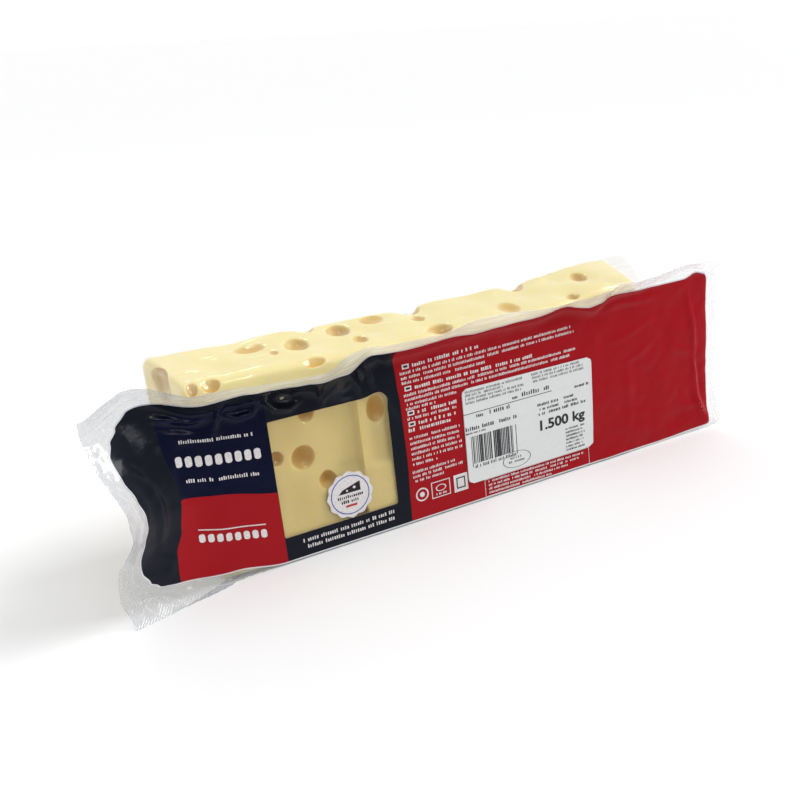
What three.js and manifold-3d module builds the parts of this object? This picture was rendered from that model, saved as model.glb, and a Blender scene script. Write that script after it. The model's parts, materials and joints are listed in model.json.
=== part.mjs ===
// A long block of cheese with eyes, vacuum packed: a clear formed film holds the block, and a printed
// lid film is welded to it all round. A weigh label is stuck on the lid.
// Millimetres, +Z up. The lid faces -Y, and the pack stands on its long narrow side.
// While it is built, x = 0 is the middle of the block's front edge and y = 0 is the foot of the front.

import * as THREE from 'three';
import Module from 'manifold-3d';

const wasm = await Module();
wasm.setup();

// ---- Driving sizes ----------------------------------------------------------------------------

const BLOCK_LENGTH = 264;        // along the foot of the front
const BLOCK_HEIGHT = 103.5;      // at the back; the front's edge is lower by FRONT_DROP
const FRONT_DROP = 2.5;
const BLOCK_DEPTH = 59.5;        // at the foot; the front leans back, so the top is narrower
const BLOCK_EDGE = 5;            // rounding of the long edges
const LEFT_SKEW = 11;            // the cut ends are not square: the back is longer by this
const RIGHT_SKEW = 17;
const END_ROUND = 4;
const FRONT_LEAN = THREE.MathUtils.degToRad(7.1);

const FILM = 0.6;                // the welded films, drawn thick enough to be a solid
const GAP = 0.3;                 // clearance between pieces that touch
const MARGIN = 12.5;             // clear welded border outside the print
const PRINT_HEIGHT = 102;
const PRINT_RIGHT = 192.5;
const SHEET_LEFT = -182;
const SHEET_RIGHT = PRINT_RIGHT + MARGIN;

const LABEL_WIDTH = 87.5;
const LABEL_HEIGHT = 55.5;
const LABEL_LEFT = 11.2;
const LABEL_FOOT = 12;
const LABEL_CORNER = 3;
const LABEL_THICK = 0.4;

// ---- How the lid film bends --------------------------------------------------------------------
// Each list holds [place along the sheet, value] and is blended smoothly between its entries.

// Height on the sheet where the top border starts to flop forward, mm.
const FLOP_START = [
  [-182, 86], [-158, 95], [-130, 81.5], [-78, 82], [-60, 76], [-42, 87.5], [60, 90],
  [80, 92.5], [100, 87.5], [114, 93], [178, 98], [205, 95],
];

// How far it flops forward from upright, degrees.
const FLOP_ANGLE = [
  [-182, 52], [-158, 38], [-135, 47], [-76, 54], [-58, 34], [-36, 48], [-9, 50], [20, 42], [82, 56],
  [100, 40], [138, 48], [165, 43], [205, 66],
];
const FLOP_BEND = 10;            // length of sheet taken by the bend

// Height of the print's lower edge above the floor, mm. At the left it is lifted by the border,
// which comes forward there; elsewhere the border is folded back under the block.
const FOOT_LIFT = [[-182, 10], [-160, 10], [-125, 5], [-98, 0.7], [140, 0.7], [205, 2.4]];

// Width of the border that shows in front of the fold, mm.
const FOOT_STRIP = [[-165, 12.5], [-98, 0.5]];

// How far the left end bows forward at its edge, by height, mm.
const LEFT_BOW = [[0, -6], [22, -13], [54, -27.5], [60, -27.5], [106, -3]];
const BOW_POWER = 1.7;           // the bow grows with this power of the distance past the block
const BOW_SLANT = 7;             // nearer the block the bow sits this much lower
const CORNER_TUCK = 5;           // the lower left corner is drawn in by this

// How far the right border turns back, by height, degrees, and the slow turn of the whole end.
const RIGHT_CURL = [[0, 12], [14, 18], [84, 18], [108, 24]];
const RIGHT_SWEEP = [[0, -1], [30, 3]];

// ---- Small helpers -----------------------------------------------------------------------------

const smooth = (x) => THREE.MathUtils.smoothstep(x, 0, 1);

function blend(knots, x) {
  let value = knots[0][1];
  for (let i = 1; i < knots.length; i++) {
    const [from, a] = knots[i - 1];
    const [to, b] = knots[i];
    if (x >= from) value = a + (b - a) * smooth((x - from) / (to - from));
  }
  return value;
}

// Mean of f over 0..1, for lengths that are measured along a bent sheet.
function mean(f, steps = 24) {
  let sum = 0;
  for (let i = 0; i < steps; i++) sum += f((i + 0.5) / steps);
  return sum / steps;
}

// A small repeatable random source, 0..1.
function randomSource(seed) {
  let state = seed;
  return () => {
    state = (state * 1664525 + 1013904223) % 4294967296;
    return state / 4294967296;
  };
}

function toManifold(positions, triangles) {
  const mesh = new wasm.Mesh({
    numProp: 3,
    vertProperties: new Float32Array(positions.flatMap((p) => [p.x, p.y, p.z])),
    triVerts: new Uint32Array(triangles.flat()),
  });
  mesh.merge();
  return new wasm.Manifold(mesh);
}

function fromManifold(solid) {
  const mesh = solid.getMesh();
  const geometry = new THREE.BufferGeometry();
  geometry.setAttribute('position', new THREE.BufferAttribute(mesh.vertProperties, 3));
  geometry.setIndex(new THREE.BufferAttribute(mesh.triVerts, 1));
  return geometry;
}

// A closed solid from a three.js geometry, with its seam vertices joined.
function solidOf(geometry, matrix) {
  const place = geometry.clone().applyMatrix4(matrix).getAttribute('position');
  const found = new Map();
  const points = [];
  const same = [];
  for (let i = 0; i < place.count; i++) {
    const p = new THREE.Vector3().fromBufferAttribute(place, i);
    const key = p.toArray().map((v) => v.toFixed(4)).join(',');
    if (!found.has(key)) found.set(key, points.push(p) - 1);
    same.push(found.get(key));
  }
  const index = geometry.index ? Array.from(geometry.index.array) : same.map((_, i) => i);
  const triangles = [];
  for (let i = 0; i < index.length; i += 3) {
    const [a, b, c] = index.slice(i, i + 3).map((k) => same[k]);
    if (a !== b && b !== c && c !== a) triangles.push([a, b, c]);
  }
  return toManifold(points, triangles);
}

// ---- The lid film ------------------------------------------------------------------------------

// Where a point of the flat sheet ends up: s runs along it from the block's middle, and t runs up it
// from the print's lower edge.
function lidPoint(s, t) {
  const start = blend(FLOP_START, s);
  const flop = THREE.MathUtils.degToRad(blend(FLOP_ANGLE, s));
  const lift = blend(FOOT_LIFT, s);
  const up = Math.max(t, 0);
  const turn = (k) => {
    const bent = smooth((up * k - start) / FLOP_BEND);
    return FRONT_LEAN * (1 - bent) - flop * bent;
  };
  const squeeze = 1 - lift / BLOCK_HEIGHT;
  let y = up * mean((k) => Math.sin(turn(k)), 60) * squeeze + Math.tan(FRONT_LEAN) * lift - GAP - FILM / 2;
  let z = up * mean((k) => Math.cos(turn(k)), 60) * squeeze + lift;
  if (t < 0) {
    const slope = Math.asin(Math.min((lift - FILM / 2) / blend(FOOT_STRIP, s), 0.95));
    y += t * Math.cos(slope);
    z += t * Math.sin(slope);
  }

  const half = BLOCK_LENGTH / 2;
  const left = Math.max(-half - s, 0);
  const right = Math.max(s - half, 0);
  let x = THREE.MathUtils.clamp(s, -half, half);
  if (left > 0) {
    const span = -half - SHEET_LEFT;
    const bow = blend(LEFT_BOW, z + BOW_SLANT * (1 - left / span) * smooth((z - 50) / 10));
    const steepness = (k) => Math.abs(bow) * BOW_POWER / span * (left * k / span) ** (BOW_POWER - 1);
    x -= left * mean((k) => Math.sqrt(Math.max(1 - steepness(k) ** 2, 0.05)));
    x += CORNER_TUCK * (left / span) * smooth(1 - z / 16);
    y += bow * (left / span) ** BOW_POWER;
  }
  if (right > 0) {
    const sweep = THREE.MathUtils.degToRad(blend(RIGHT_SWEEP, z));
    const curl = THREE.MathUtils.degToRad(blend(RIGHT_CURL, z));
    const border = PRINT_RIGHT - half - 6;
    const angle = (k) => sweep * smooth(right * k / 40) + curl * smooth((right * k - border) / 10);
    x += right * mean((k) => Math.cos(angle(k)));
    y += right * mean((k) => Math.sin(angle(k)));
  }
  return new THREE.Vector3(x, y, z);
}

function lidNormal(s, t) {
  const d = 0.5;
  const along = lidPoint(s + d, t).sub(lidPoint(s - d, t));
  const upward = lidPoint(s, t + d).sub(lidPoint(s, t - d));
  return along.cross(upward).normalize();
}

// Even steps from a to b, no longer than the given length, without the last point.
function steps(a, b, length) {
  const count = Math.ceil(Math.abs(b - a) / length);
  return Array.from({ length: count }, (_, i) => a + (b - a) * i / count);
}

function lidSheet() {
  const half = BLOCK_LENGTH / 2;
  const columns = [
    ...steps(SHEET_LEFT, -half, 4.6), ...steps(-half, -40, 5.5), ...steps(-40, 118, 8),
    ...steps(118, 180, 7), ...steps(180, SHEET_RIGHT, 4.2), SHEET_RIGHT,
  ];
  const rows = [
    ...steps(0, 74, 10), ...steps(74, 98, 4), ...steps(98, PRINT_HEIGHT + MARGIN, 5.5),
    PRINT_HEIGHT + MARGIN,
  ];
  const strips = [-1, -0.5];     // border below the print, as parts of the width that shows
  const points = [];
  for (const side of [-1, 1]) {
    for (const s of columns) {
      for (const row of [...strips, ...rows]) {
        const t = row < 0 ? row * blend(FOOT_STRIP, s) : row;
        points.push(lidPoint(s, t).addScaledVector(lidNormal(s, Math.max(t, 0.5)), side * FILM / 2));
      }
    }
  }
  const n = rows.length + strips.length;
  const m = columns.length;
  const at = (side, i, j) => side * m * n + i * n + j;
  const triangles = [];
  const quad = (a, b, c, d) => triangles.push([a, b, c], [a, c, d]);
  for (let i = 0; i < m - 1; i++) {
    for (let j = 0; j < n - 1; j++) {
      quad(at(0, i, j), at(0, i, j + 1), at(0, i + 1, j + 1), at(0, i + 1, j));
      quad(at(1, i, j), at(1, i + 1, j), at(1, i + 1, j + 1), at(1, i, j + 1));
    }
    quad(at(0, i, 0), at(0, i + 1, 0), at(1, i + 1, 0), at(1, i, 0));
    quad(at(0, i, n - 1), at(1, i, n - 1), at(1, i + 1, n - 1), at(0, i + 1, n - 1));
  }
  for (let j = 0; j < n - 1; j++) {
    quad(at(0, 0, j), at(1, 0, j), at(1, 0, j + 1), at(0, 0, j + 1));
    quad(at(0, m - 1, j), at(0, m - 1, j + 1), at(1, m - 1, j + 1), at(1, m - 1, j));
  }
  return toManifold(points, triangles);
}

// The border folded back flat under the block, along the part where it doesn't come forward.
function foldedBorder() {
  const from = -97;
  const to = BLOCK_LENGTH / 2 + 8;
  const width = MARGIN + GAP + FILM;
  const strip = new THREE.BoxGeometry(to - from, width, FILM);
  const place = new THREE.Matrix4().makeTranslation((from + to) / 2, width / 2 - GAP - FILM, FILM / 2);
  return solidOf(strip, place);
}

// ---- The block in its formed film --------------------------------------------------------------

const STATIONS = 34;             // steps between sections along the block

// Height of the top by the place along it: the right end humps up.
const TOP_RISE = [[-100, 0.8], [-20, 0], [70, 0.5], [125, 4.5], [150, 3.5]];

// One section across the block as [y, z] points, starting at the front's foot and going up.
function section(x) {
  const top = BLOCK_HEIGHT + blend(TOP_RISE, x);
  const inset = Math.tan(FRONT_LEAN);
  const front = top - FRONT_DROP;
  const corners = [[0, 0], [inset * front, front], [BLOCK_DEPTH - 1, top], [BLOCK_DEPTH, 0]];
  const counts = [6, 4, 6, 3];   // pieces each side is cut into
  const outline = [];
  corners.forEach((corner, i) => {
    const here = new THREE.Vector2(...corner);
    const before = new THREE.Vector2(...corners[(i + 3) % 4]);
    const after = new THREE.Vector2(...corners[(i + 1) % 4]);
    const into = here.clone().add(before.sub(here).setLength(BLOCK_EDGE));
    const out = here.clone().add(after.clone().sub(here).setLength(BLOCK_EDGE));
    outline.push(...new THREE.QuadraticBezierCurve(into, here, out).getPoints(3));
    const next = after.add(here.clone().sub(after).setLength(BLOCK_EDGE));
    for (let k = 1; k < counts[i]; k++) outline.push(out.clone().lerp(next, k / counts[i]));
  });
  return outline;
}

// The block before its eyes are cut: sections in a row, with rounded ends that are cut askew.
function plainBlock() {
  const half = BLOCK_LENGTH / 2;
  // u runs from -1 to 1 along the block; shrink and push round the two ends.
  const ring = (u, shrink, push) => {
    const outline = section(u * half);
    const centre = outline.reduce((sum, p) => sum.add(p), new THREE.Vector2());
    centre.divideScalar(outline.length);
    return outline.map((p) => {
      const q = p.clone().sub(centre);
      q.setLength(q.length() - shrink).add(centre);
      const skew = (u < 0 ? -LEFT_SKEW : RIGHT_SKEW) * u * u * q.x / BLOCK_DEPTH;
      return new THREE.Vector3(u * (half - END_ROUND) + skew + push, q.x, q.y);
    });
  };
  const rounding = [[END_ROUND, END_ROUND], [0.35 * END_ROUND, 0.75 * END_ROUND]];
  const rings = [
    ...rounding.map(([shrink, push]) => ring(-1, shrink, -push)),
    ...[...steps(-1, 1, 2 / STATIONS), 1].map((u) => ring(u, 0, 0)),
    ...rounding.reverse().map(([shrink, push]) => ring(1, shrink, push)),
  ];

  const n = rings[0].length;
  const points = rings.flat();
  const triangles = [];
  for (let i = 0; i < rings.length - 1; i++) {
    for (let j = 0; j < n; j++) {
      const k = (j + 1) % n;
      triangles.push([i * n + j, (i + 1) * n + k, i * n + k], [i * n + j, (i + 1) * n + j, (i + 1) * n + k]);
    }
  }
  for (const [end, first] of [[0, true], [rings.length - 1, false]]) {
    const centre = rings[end].reduce((sum, p) => sum.add(p), new THREE.Vector3()).divideScalar(n);
    const hub = points.push(centre) - 1;
    for (let j = 0; j < n; j++) {
      const a = end * n + j;
      const b = end * n + (j + 1) % n;
      triangles.push(first ? [hub, a, b] : [hub, b, a]);
    }
  }
  return toManifold(points, triangles);
}

// Eyes of the cheese under the film, as [place, place, half width, half width, depth], on the top
// as [x, y], on the front as [x, height], on the left end as [y, height].
const TOP_EYES = [
  [-91, 44, 8, 5, 2], [-82, 33, 2.5, 3.5, 2], [-68, 38, 6, 7, 4], [-42, 45, 6, 7, 4.5],
  [-37, 27, 4, 5, 3], [-20, 49, 7, 6, 2], [-68, 10, 8, 7, 5], [6, 20, 7, 6, 5], [3, 38, 4, 4, 2.5],
  [54, 25, 6, 8, 2], [93, 19, 4, 4, 3], [114, 40, 5, 6, 4], [-129, 12, 3, 5, 6], [-120, 12, 5, 5, 6],
];
const BACK_EDGE_EYES = [[-57, 5.5, 3.5], [4, 8, 6], [75, 8, 5], [102, 5, 2]];
const FRONT_EYES = [
  [-81, 53, 6, 6, 4], [-95, 56, 3.6, 3.6, 3], [-69, 38, 5, 5, 3], [-76, 75, 4.5, 4.5, 3],
  [-38, 68, 5.5, 8, 4], [-54, 15, 4, 4, 3],
];
const LEFT_END_EYES = [[37, 95, 11, 8, 6]];

function eye(x, y, z, rx, ry, rz) {
  const ball = new THREE.SphereGeometry(1, 12, 7);
  const scale = new THREE.Matrix4().makeScale(rx, ry, rz);
  return solidOf(ball, new THREE.Matrix4().makeTranslation(x, y, z).multiply(scale));
}

// Eyes on the faces turned away, placed evenly with a seeded scatter.
function scatteredEyes() {
  const random = randomSource(7);
  const list = [];
  for (let i = 0; i < 9; i++) {
    const r = 4 + 5 * random();
    const x = -118 + 29 * i + 12 * random();
    const z = 20 + 62 * ((i * 0.38) % 1) + 8 * random();
    list.push(eye(x, BLOCK_DEPTH - 0.3, z, r, 0.6 * r, r));
  }
  for (let i = 0; i < 3; i++) {
    const r = 5 + 4 * random();
    list.push(eye(BLOCK_LENGTH / 2 + 12, 30 + 8 * (i % 2), 22 + 27 * i, 0.9 * r, r, r));
  }
  return list;
}

function sealedBlock() {
  const half = BLOCK_LENGTH / 2;
  const lean = Math.tan(FRONT_LEAN);
  const topHeight = (x, y) => BLOCK_HEIGHT + blend(TOP_RISE, x) - FRONT_DROP * (1 - y / BLOCK_DEPTH);
  const cuts = scatteredEyes();
  for (const [x, y, rx, ry, depth] of TOP_EYES) {
    cuts.push(eye(x, y, topHeight(x, y), rx, ry, depth));
  }
  for (const [x, r, depth] of BACK_EDGE_EYES) {
    cuts.push(eye(x, BLOCK_DEPTH - 1, BLOCK_HEIGHT + blend(TOP_RISE, x), r, 1.5 * r, depth));
  }
  for (const [x, z, rx, rz, depth] of FRONT_EYES) cuts.push(eye(x, lean * z, z, rx, depth, rz));
  for (const [y, z, ry, rz, depth] of LEFT_END_EYES) {
    cuts.push(eye(-half - LEFT_SKEW * y / BLOCK_DEPTH + 0.3, y, z, depth, ry, rz));
  }
  // Room under the front edge for the folded border.
  const room = new THREE.BoxGeometry(2 * BLOCK_LENGTH, 2 * (MARGIN + 1), 2 * (FILM + GAP));
  cuts.push(solidOf(room, new THREE.Matrix4()));
  return wasm.Manifold.difference([plainBlock(), ...cuts]);
}

// ---- The weigh label ---------------------------------------------------------------------------

function weighLabel() {
  const shape = new THREE.Shape();
  const w = LABEL_WIDTH;
  const h = LABEL_HEIGHT;
  const r = LABEL_CORNER;
  shape.moveTo(r, 0);
  shape.lineTo(w - r, 0);
  shape.absarc(w - r, r, r, -Math.PI / 2, 0);
  shape.absarc(w - r, h - r, r, 0, Math.PI / 2);
  shape.absarc(r, h - r, r, Math.PI / 2, Math.PI);
  shape.absarc(r, r, r, Math.PI, 1.5 * Math.PI);
  const options = { depth: LABEL_THICK, bevelEnabled: false, curveSegments: 5 };
  const foot = lidPoint(LABEL_LEFT, LABEL_FOOT).addScaledVector(lidNormal(0, LABEL_FOOT), FILM / 2 + GAP);
  const place = new THREE.Matrix4().makeTranslation(foot.x, foot.y, foot.z);
  place.multiply(new THREE.Matrix4().makeRotationX(Math.PI / 2 - FRONT_LEAN));
  return solidOf(new THREE.ExtrudeGeometry(shape, options), place);
}

// ---- The pack ----------------------------------------------------------------------------------

function piece(name, solid, colour, roughness) {
  const material = new THREE.MeshStandardMaterial({ color: colour, roughness, metalness: 0 });
  const mesh = new THREE.Mesh(fromManifold(solid), material);
  mesh.name = name;
  return mesh;
}

const pack = new THREE.Group();
pack.name = 'sealed_cheese_block';
pack.add(piece('sealed_block', sealedBlock(), 0xf0e2b0, 0.35));
pack.add(piece('lid_film', lidSheet().add(foldedBorder()), 0x9c1c24, 0.3));
pack.add(piece('weigh_label', weighLabel(), 0xf2f2ee, 0.6));

// The origin goes to the middle of the foot of the whole pack.
const extent = new THREE.Box3();
for (const mesh of pack.children) {
  mesh.geometry.computeBoundingBox();
  extent.union(mesh.geometry.boundingBox);
}
const middle = extent.getCenter(new THREE.Vector3());
for (const mesh of pack.children) mesh.geometry.translate(-middle.x, -middle.y, -extent.min.z);

export default pack;
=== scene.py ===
"""A long block of cheese with eyes, vacuum packed: the cheese, the clear film formed over it, the
printed lid film with its clear welded border, and the weigh label.

Sizes are millimetres. They are measured from the foot of the block's front: x along the pack, y from
the lid towards the back, z up. A place on the flat lid film is (s, t): s along it from the block's
middle, t up it from the print's lower edge.
"""

import json
import math

import bmesh
import bpy
import numpy as np
from mathutils import Matrix, Vector

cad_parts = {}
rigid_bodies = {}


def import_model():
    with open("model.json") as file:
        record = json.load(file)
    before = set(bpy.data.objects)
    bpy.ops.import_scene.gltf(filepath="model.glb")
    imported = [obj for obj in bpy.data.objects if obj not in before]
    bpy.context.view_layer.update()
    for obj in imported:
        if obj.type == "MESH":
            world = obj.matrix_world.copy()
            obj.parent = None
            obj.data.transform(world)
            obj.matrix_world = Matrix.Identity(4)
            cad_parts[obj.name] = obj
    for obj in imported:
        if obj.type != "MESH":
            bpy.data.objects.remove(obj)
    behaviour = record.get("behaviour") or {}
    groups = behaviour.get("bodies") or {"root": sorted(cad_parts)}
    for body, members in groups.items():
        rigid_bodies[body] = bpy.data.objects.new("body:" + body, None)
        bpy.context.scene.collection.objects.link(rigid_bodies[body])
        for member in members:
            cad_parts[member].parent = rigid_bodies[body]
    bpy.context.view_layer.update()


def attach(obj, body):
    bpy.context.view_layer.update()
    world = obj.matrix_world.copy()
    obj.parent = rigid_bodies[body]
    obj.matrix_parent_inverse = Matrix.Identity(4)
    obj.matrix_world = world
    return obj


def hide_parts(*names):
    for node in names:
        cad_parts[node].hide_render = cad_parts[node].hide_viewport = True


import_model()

# ---- Sizes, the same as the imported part's ----------------------------------------------------------------

MM = 0.001
FRONT_FOOT = np.array([-11.453, -19.002, 0.0])   # where the foot of the block's front is in the part

BLOCK_LENGTH = 264.0
BLOCK_HEIGHT = 103.5
FRONT_DROP = 2.5
BLOCK_DEPTH = 59.5
BLOCK_EDGE = 5.0
LEFT_SKEW = 11.0
RIGHT_SKEW = 17.0
END_ROUND = 4.0
FRONT_LEAN = math.radians(7.1)
HALF = BLOCK_LENGTH / 2

FILM = 0.6                       # the lid solid's thickness
GAP = 0.3
MARGIN = 12.5                    # clear welded border outside the print
PRINT_RIGHT = 192.5
SHEET_LEFT = -182.0
SHEET_RIGHT = PRINT_RIGHT + MARGIN
SHEET_FOOT, SHEET_TOP = -12.5, 114.5

LABEL_WIDTH, LABEL_HEIGHT = 87.5, 55.5
LABEL_LEFT, LABEL_FOOT, LABEL_CORNER = 11.2, 12.0, 3.0

# [place along the sheet, value], blended smoothly between entries.
FLOP_START = [
    (-182, 86), (-158, 95), (-130, 81.5), (-78, 82), (-60, 76), (-42, 87.5), (60, 90),
    (80, 92.5), (100, 87.5), (114, 93), (178, 98), (205, 95),
]
FLOP_ANGLE = [
    (-182, 52), (-158, 38), (-135, 47), (-76, 54), (-58, 34), (-36, 48), (-9, 50), (20, 42), (82, 56),
    (100, 40), (138, 48), (165, 43), (205, 66),
]
FLOP_BEND = 10.0
FOOT_LIFT = [(-182, 10), (-160, 10), (-125, 5), (-98, 0.7), (140, 0.7), (205, 2.4)]
FOOT_STRIP = [(-165, 12.5), (-98, 0.5)]
LEFT_BOW = [(0, -6), (22, -13), (54, -27.5), (60, -27.5), (106, -3)]
BOW_POWER, BOW_SLANT, CORNER_TUCK = 1.7, 7.0, 5.0
RIGHT_CURL = [(0, 12), (14, 18), (84, 18), (108, 24)]
RIGHT_SWEEP = [(0, -1), (30, 3)]
TOP_RISE = [(-100, 0.8), (-20, 0), (70, 0.5), (125, 4.5), (150, 3.5)]

TOP_EYES = [
    (-91, 44, 8, 5, 2), (-82, 33, 2.5, 3.5, 2), (-68, 38, 6, 7, 4), (-42, 45, 6, 7, 4.5),
    (-37, 27, 4, 5, 3), (-20, 49, 7, 6, 2), (-68, 10, 8, 7, 5), (6, 20, 7, 6, 5), (3, 38, 4, 4, 2.5),
    (54, 25, 6, 8, 2), (93, 19, 4, 4, 3), (114, 40, 5, 6, 4), (-129, 12, 3, 5, 6), (-120, 12, 5, 5, 6),
]
BACK_EDGE_EYES = [(-57, 5.5, 3.5), (4, 8, 6), (75, 8, 5), (102, 5, 2)]
FRONT_EYES = [
    (-81, 53, 6, 6, 4), (-95, 56, 3.6, 3.6, 3), (-69, 38, 5, 5, 3), (-76, 75, 4.5, 4.5, 3),
    (-38, 68, 5.5, 8, 4), (-54, 15, 4, 4, 3),
]
LEFT_END_EYES = [(37, 95, 11, 8, 6)]

# ---- Sizes of the finer shapes, which the solids leave out -----------------------------------------------

SKIN = 0.1                       # half the drawn thickness of the films
INK = 0.04                       # drawn thickness of the print
INK_LIFT = 0.06                  # print over the film's skin
OVERPRINT_LIFT = 0.11            # print over print
HOLE_LIFT = 0.16                 # the pale spots on the seal's dark shape
LABEL_INK_LIFT = 0.02
LABEL_FACE = FILM / 2 + GAP + 0.2     # the label's front over the middle of the lid
BAR_CELL = 3.0                   # longest cell of a long mark, so that it follows the film
EYE_GROWTH = 1.08                # the eyes' rims are rounded over, so their cutters are larger
SIDE_LENGTHS = (96, 42, 96, 50)  # about how long the block's straight sides are, from the front round
CHEESE_INSET = 0.45              # the cheese lies this far inside the solid, and its film at the solid

# Outline of the print on the sheet: its left edge as (t, s) and its top edge as (s, t).
PRINT_LEFT = [
    (-1, -157), (4, -163.2), (8, -166.7), (16, -170), (24, -170.2), (34, -168), (42, -166.3),
    (48, -167), (60, -170.4), (70, -173.2), (80, -173.4), (86, -171), (91, -167), (97, -162), (103, -156.5),
]
PRINT_TOP = [
    (-150, 99.6), (-125, 100.6), (-107, 104.6), (-67, 99.6), (-55, 98.2), (-40, 105), (-15, 103),
    (5, 103), (22, 98.6), (50, 102.4), (72, 106), (95, 100.4), (102, 103.6), (145, 101), (171, 100.6),
    (182, 103), (190, 101),
]
PRINT_LEFT_LOW = 0.3
WINDOW = (-97.2, -32.9, 13.8, 76.4)   # left, right, foot, top
PANEL_LEFT = [(0, -152), (17, -150.7), (31, -146.6), (47, -144.6), (80, -149)]     # (t, s)
PANEL_TOP, PANEL_SPLIT_LEFT, PANEL_SPLIT_RIGHT = 91.0, 47.0, 39.6      # navy lies over red
SPLIT_FROM, SPLIT_TO = -144.5, -97.8
RED_FROM = [(0, -25.8), (12, -25.5), (35, -24.8), (68, -25.5), (81, -26.5), (104, -28.6)]   # (t, s)

# Rows of small print on the lid: a line of (s, t) points under the row, the height of its strokes and how
# heavy they are, in parts of that height.
PALE_ROWS = [
    ([(-140, 75.2), (-124, 72.6), (-104, 71.6)], 1.7, 0.35),
    ([(-140, 54.6), (-124, 51.6), (-104, 50.8)], 1.7, 0.35),
    ([(-88, 8.6), (-62, 8.6), (-35, 9.2)], 1.7, 0.42), ([(-86, 4.9), (-62, 4.9), (-35, 5.4)], 1.7, 0.42),
    ([(-16.5, 86.6), (25, 88.4)], 1.7, 0.5), ([(-24, 83.5), (87.2, 87.2)], 1.35, 0.4),
    ([(-23.6, 80.8), (89.2, 84.2)], 1.35, 0.4), ([(-23.4, 78.2), (29.3, 79.0)], 1.35, 0.4),
    ([(-16.2, 74.6), (58.8, 75.7)], 1.7, 0.5), ([(-23, 71.4), (89.4, 73.8)], 1.35, 0.4),
    ([(-22.7, 68.9), (84.2, 70.6)], 1.35, 0.4), ([(-22.7, 66.3), (9, 66.4)], 1.35, 0.4),
    ([(-22.6, 63.9), (-4, 63.9)], 1.35, 0.4), ([(-16, 61.0), (9, 61.0)], 1.7, 0.5),
    ([(-22.4, 58.3), (9, 58.3)], 1.35, 0.4), ([(-16, 54.8), (9, 54.8)], 1.7, 0.5),
    ([(-22.4, 51.6), (6, 51.6)], 1.7, 0.5), ([(-22.3, 47.4), (9.4, 47.2)], 1.35, 0.4),
    ([(-22.2, 44.4), (9.4, 44.2)], 1.35, 0.4), ([(-22.1, 41.4), (9.4, 41.2)], 1.35, 0.4),
    ([(-22, 38.4), (9.4, 38.2)], 1.35, 0.4), ([(-22, 35.4), (9.4, 35.2)], 1.35, 0.4),
    ([(-21.8, 32.4), (-6, 32.2)], 1.35, 0.4), ([(-22.6, 27.8), (4, 28.2)], 1.35, 0.4),
    ([(-22.6, 25.2), (9, 25.6)], 1.35, 0.4), ([(-22.4, 22.6), (-3, 22.8)], 1.35, 0.4),
    ([(24, 9.3), (92, 8.6)], 1.2, 0.4), ([(24, 7.0), (88, 6.3)], 1.2, 0.4),
    ([(24, 4.7), (80, 4.0)], 1.2, 0.4), ([(24, 2.4), (68, 1.8)], 1.2, 0.4),
]
TAG_BOXES = [(-22.4, 86.4), (-22.2, 74.4), (-22, 60.8), (-22, 54.6)]
SEAL = (-59.5, 27.0, 12.6)       # middle (s, t) and radius of the plain seal in the window
NAVY_ROW = [(-143.4, 63.4), (-136, 61.6), (-124, 60.0), (-102, 59.2)]      # foot of its rounded strokes
RED_ROW = [(-139, 20.6), (-122.5, 17.4), (-105, 16.9)]
RED_RULE = [(-138.6, 27.6), (-122.5, 24.4), (-105.8, 23.9)]
ROUND_SIGN = (-18.2, 14.6)
OVAL_SIGN = (-12.4, -0.6, 10.0, 19.6)      # left, right, foot and top
SQUARE_SIGN = (1.8, 10.6, 9.6, 19.8)
NOTE_FRAME = (21.5, 95.5, 0.9, 11.6)

# Rows of small print on the label, in the same way.
GREY_ROWS = [
    ([(13, 64.9), (50.5, 64.9)], 1.25, 0.38), ([(13, 62.9), (38, 62.9)], 1.25, 0.38),
    ([(13, 60.8), (51.5, 60.9)], 1.25, 0.38), ([(13, 58.6), (50, 58.7)], 1.25, 0.38),
    ([(56.5, 65.3), (91, 65.5)], 1.25, 0.38), ([(57, 63.2), (94, 63.4)], 1.25, 0.38),
    ([(57.5, 61.0), (94, 61.2)], 1.25, 0.38),
]
DARK_ROWS = [
    ([(49.5, 54.8), (62, 54.8)], 2.2, 0.4), ([(64.5, 54.9), (69, 54.9)], 1.9, 0.4),
    ([(27.6, 50.0), (42.6, 50.0)], 2.0, 0.4), ([(11.6, 43.2), (30.5, 43.2)], 1.9, 0.4),
    ([(33.5, 43.2), (46, 43.2)], 1.9, 0.4), ([(19, 49.9), (24.4, 49.9)], 1.5, 0.5),
    ([(43, 54.6), (47, 54.6)], 1.2, 0.5), ([(11.5, 41.2), (25, 41.2)], 0.9, 0.5),
    ([(86, 51.3), (97, 51.3)], 1.3, 0.5), ([(59.5, 46.2), (75, 46.2)], 1.4, 0.45),
    ([(78, 46.5), (86, 46.5)], 1.4, 0.45), ([(59.8, 43.4), (75, 43.4)], 1.4, 0.45),
    ([(78.5, 43.6), (88, 43.6)], 1.4, 0.45), ([(60, 40.5), (94.5, 41.0)], 1.5, 0.5),
    ([(16, 20.6), (44, 20.8)], 1.7, 0.3), ([(39, 19.2), (48, 19.2)], 1.1, 0.4),
    ([(38, 16.9), (49, 16.9)], 1.1, 0.4),
] + [([(78.4, 27.0 - 2.2 * k), (93 - 2 * (k % 2), 27.0 - 2.2 * k)], 1.1, 0.4) for k in range(7)]

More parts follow.
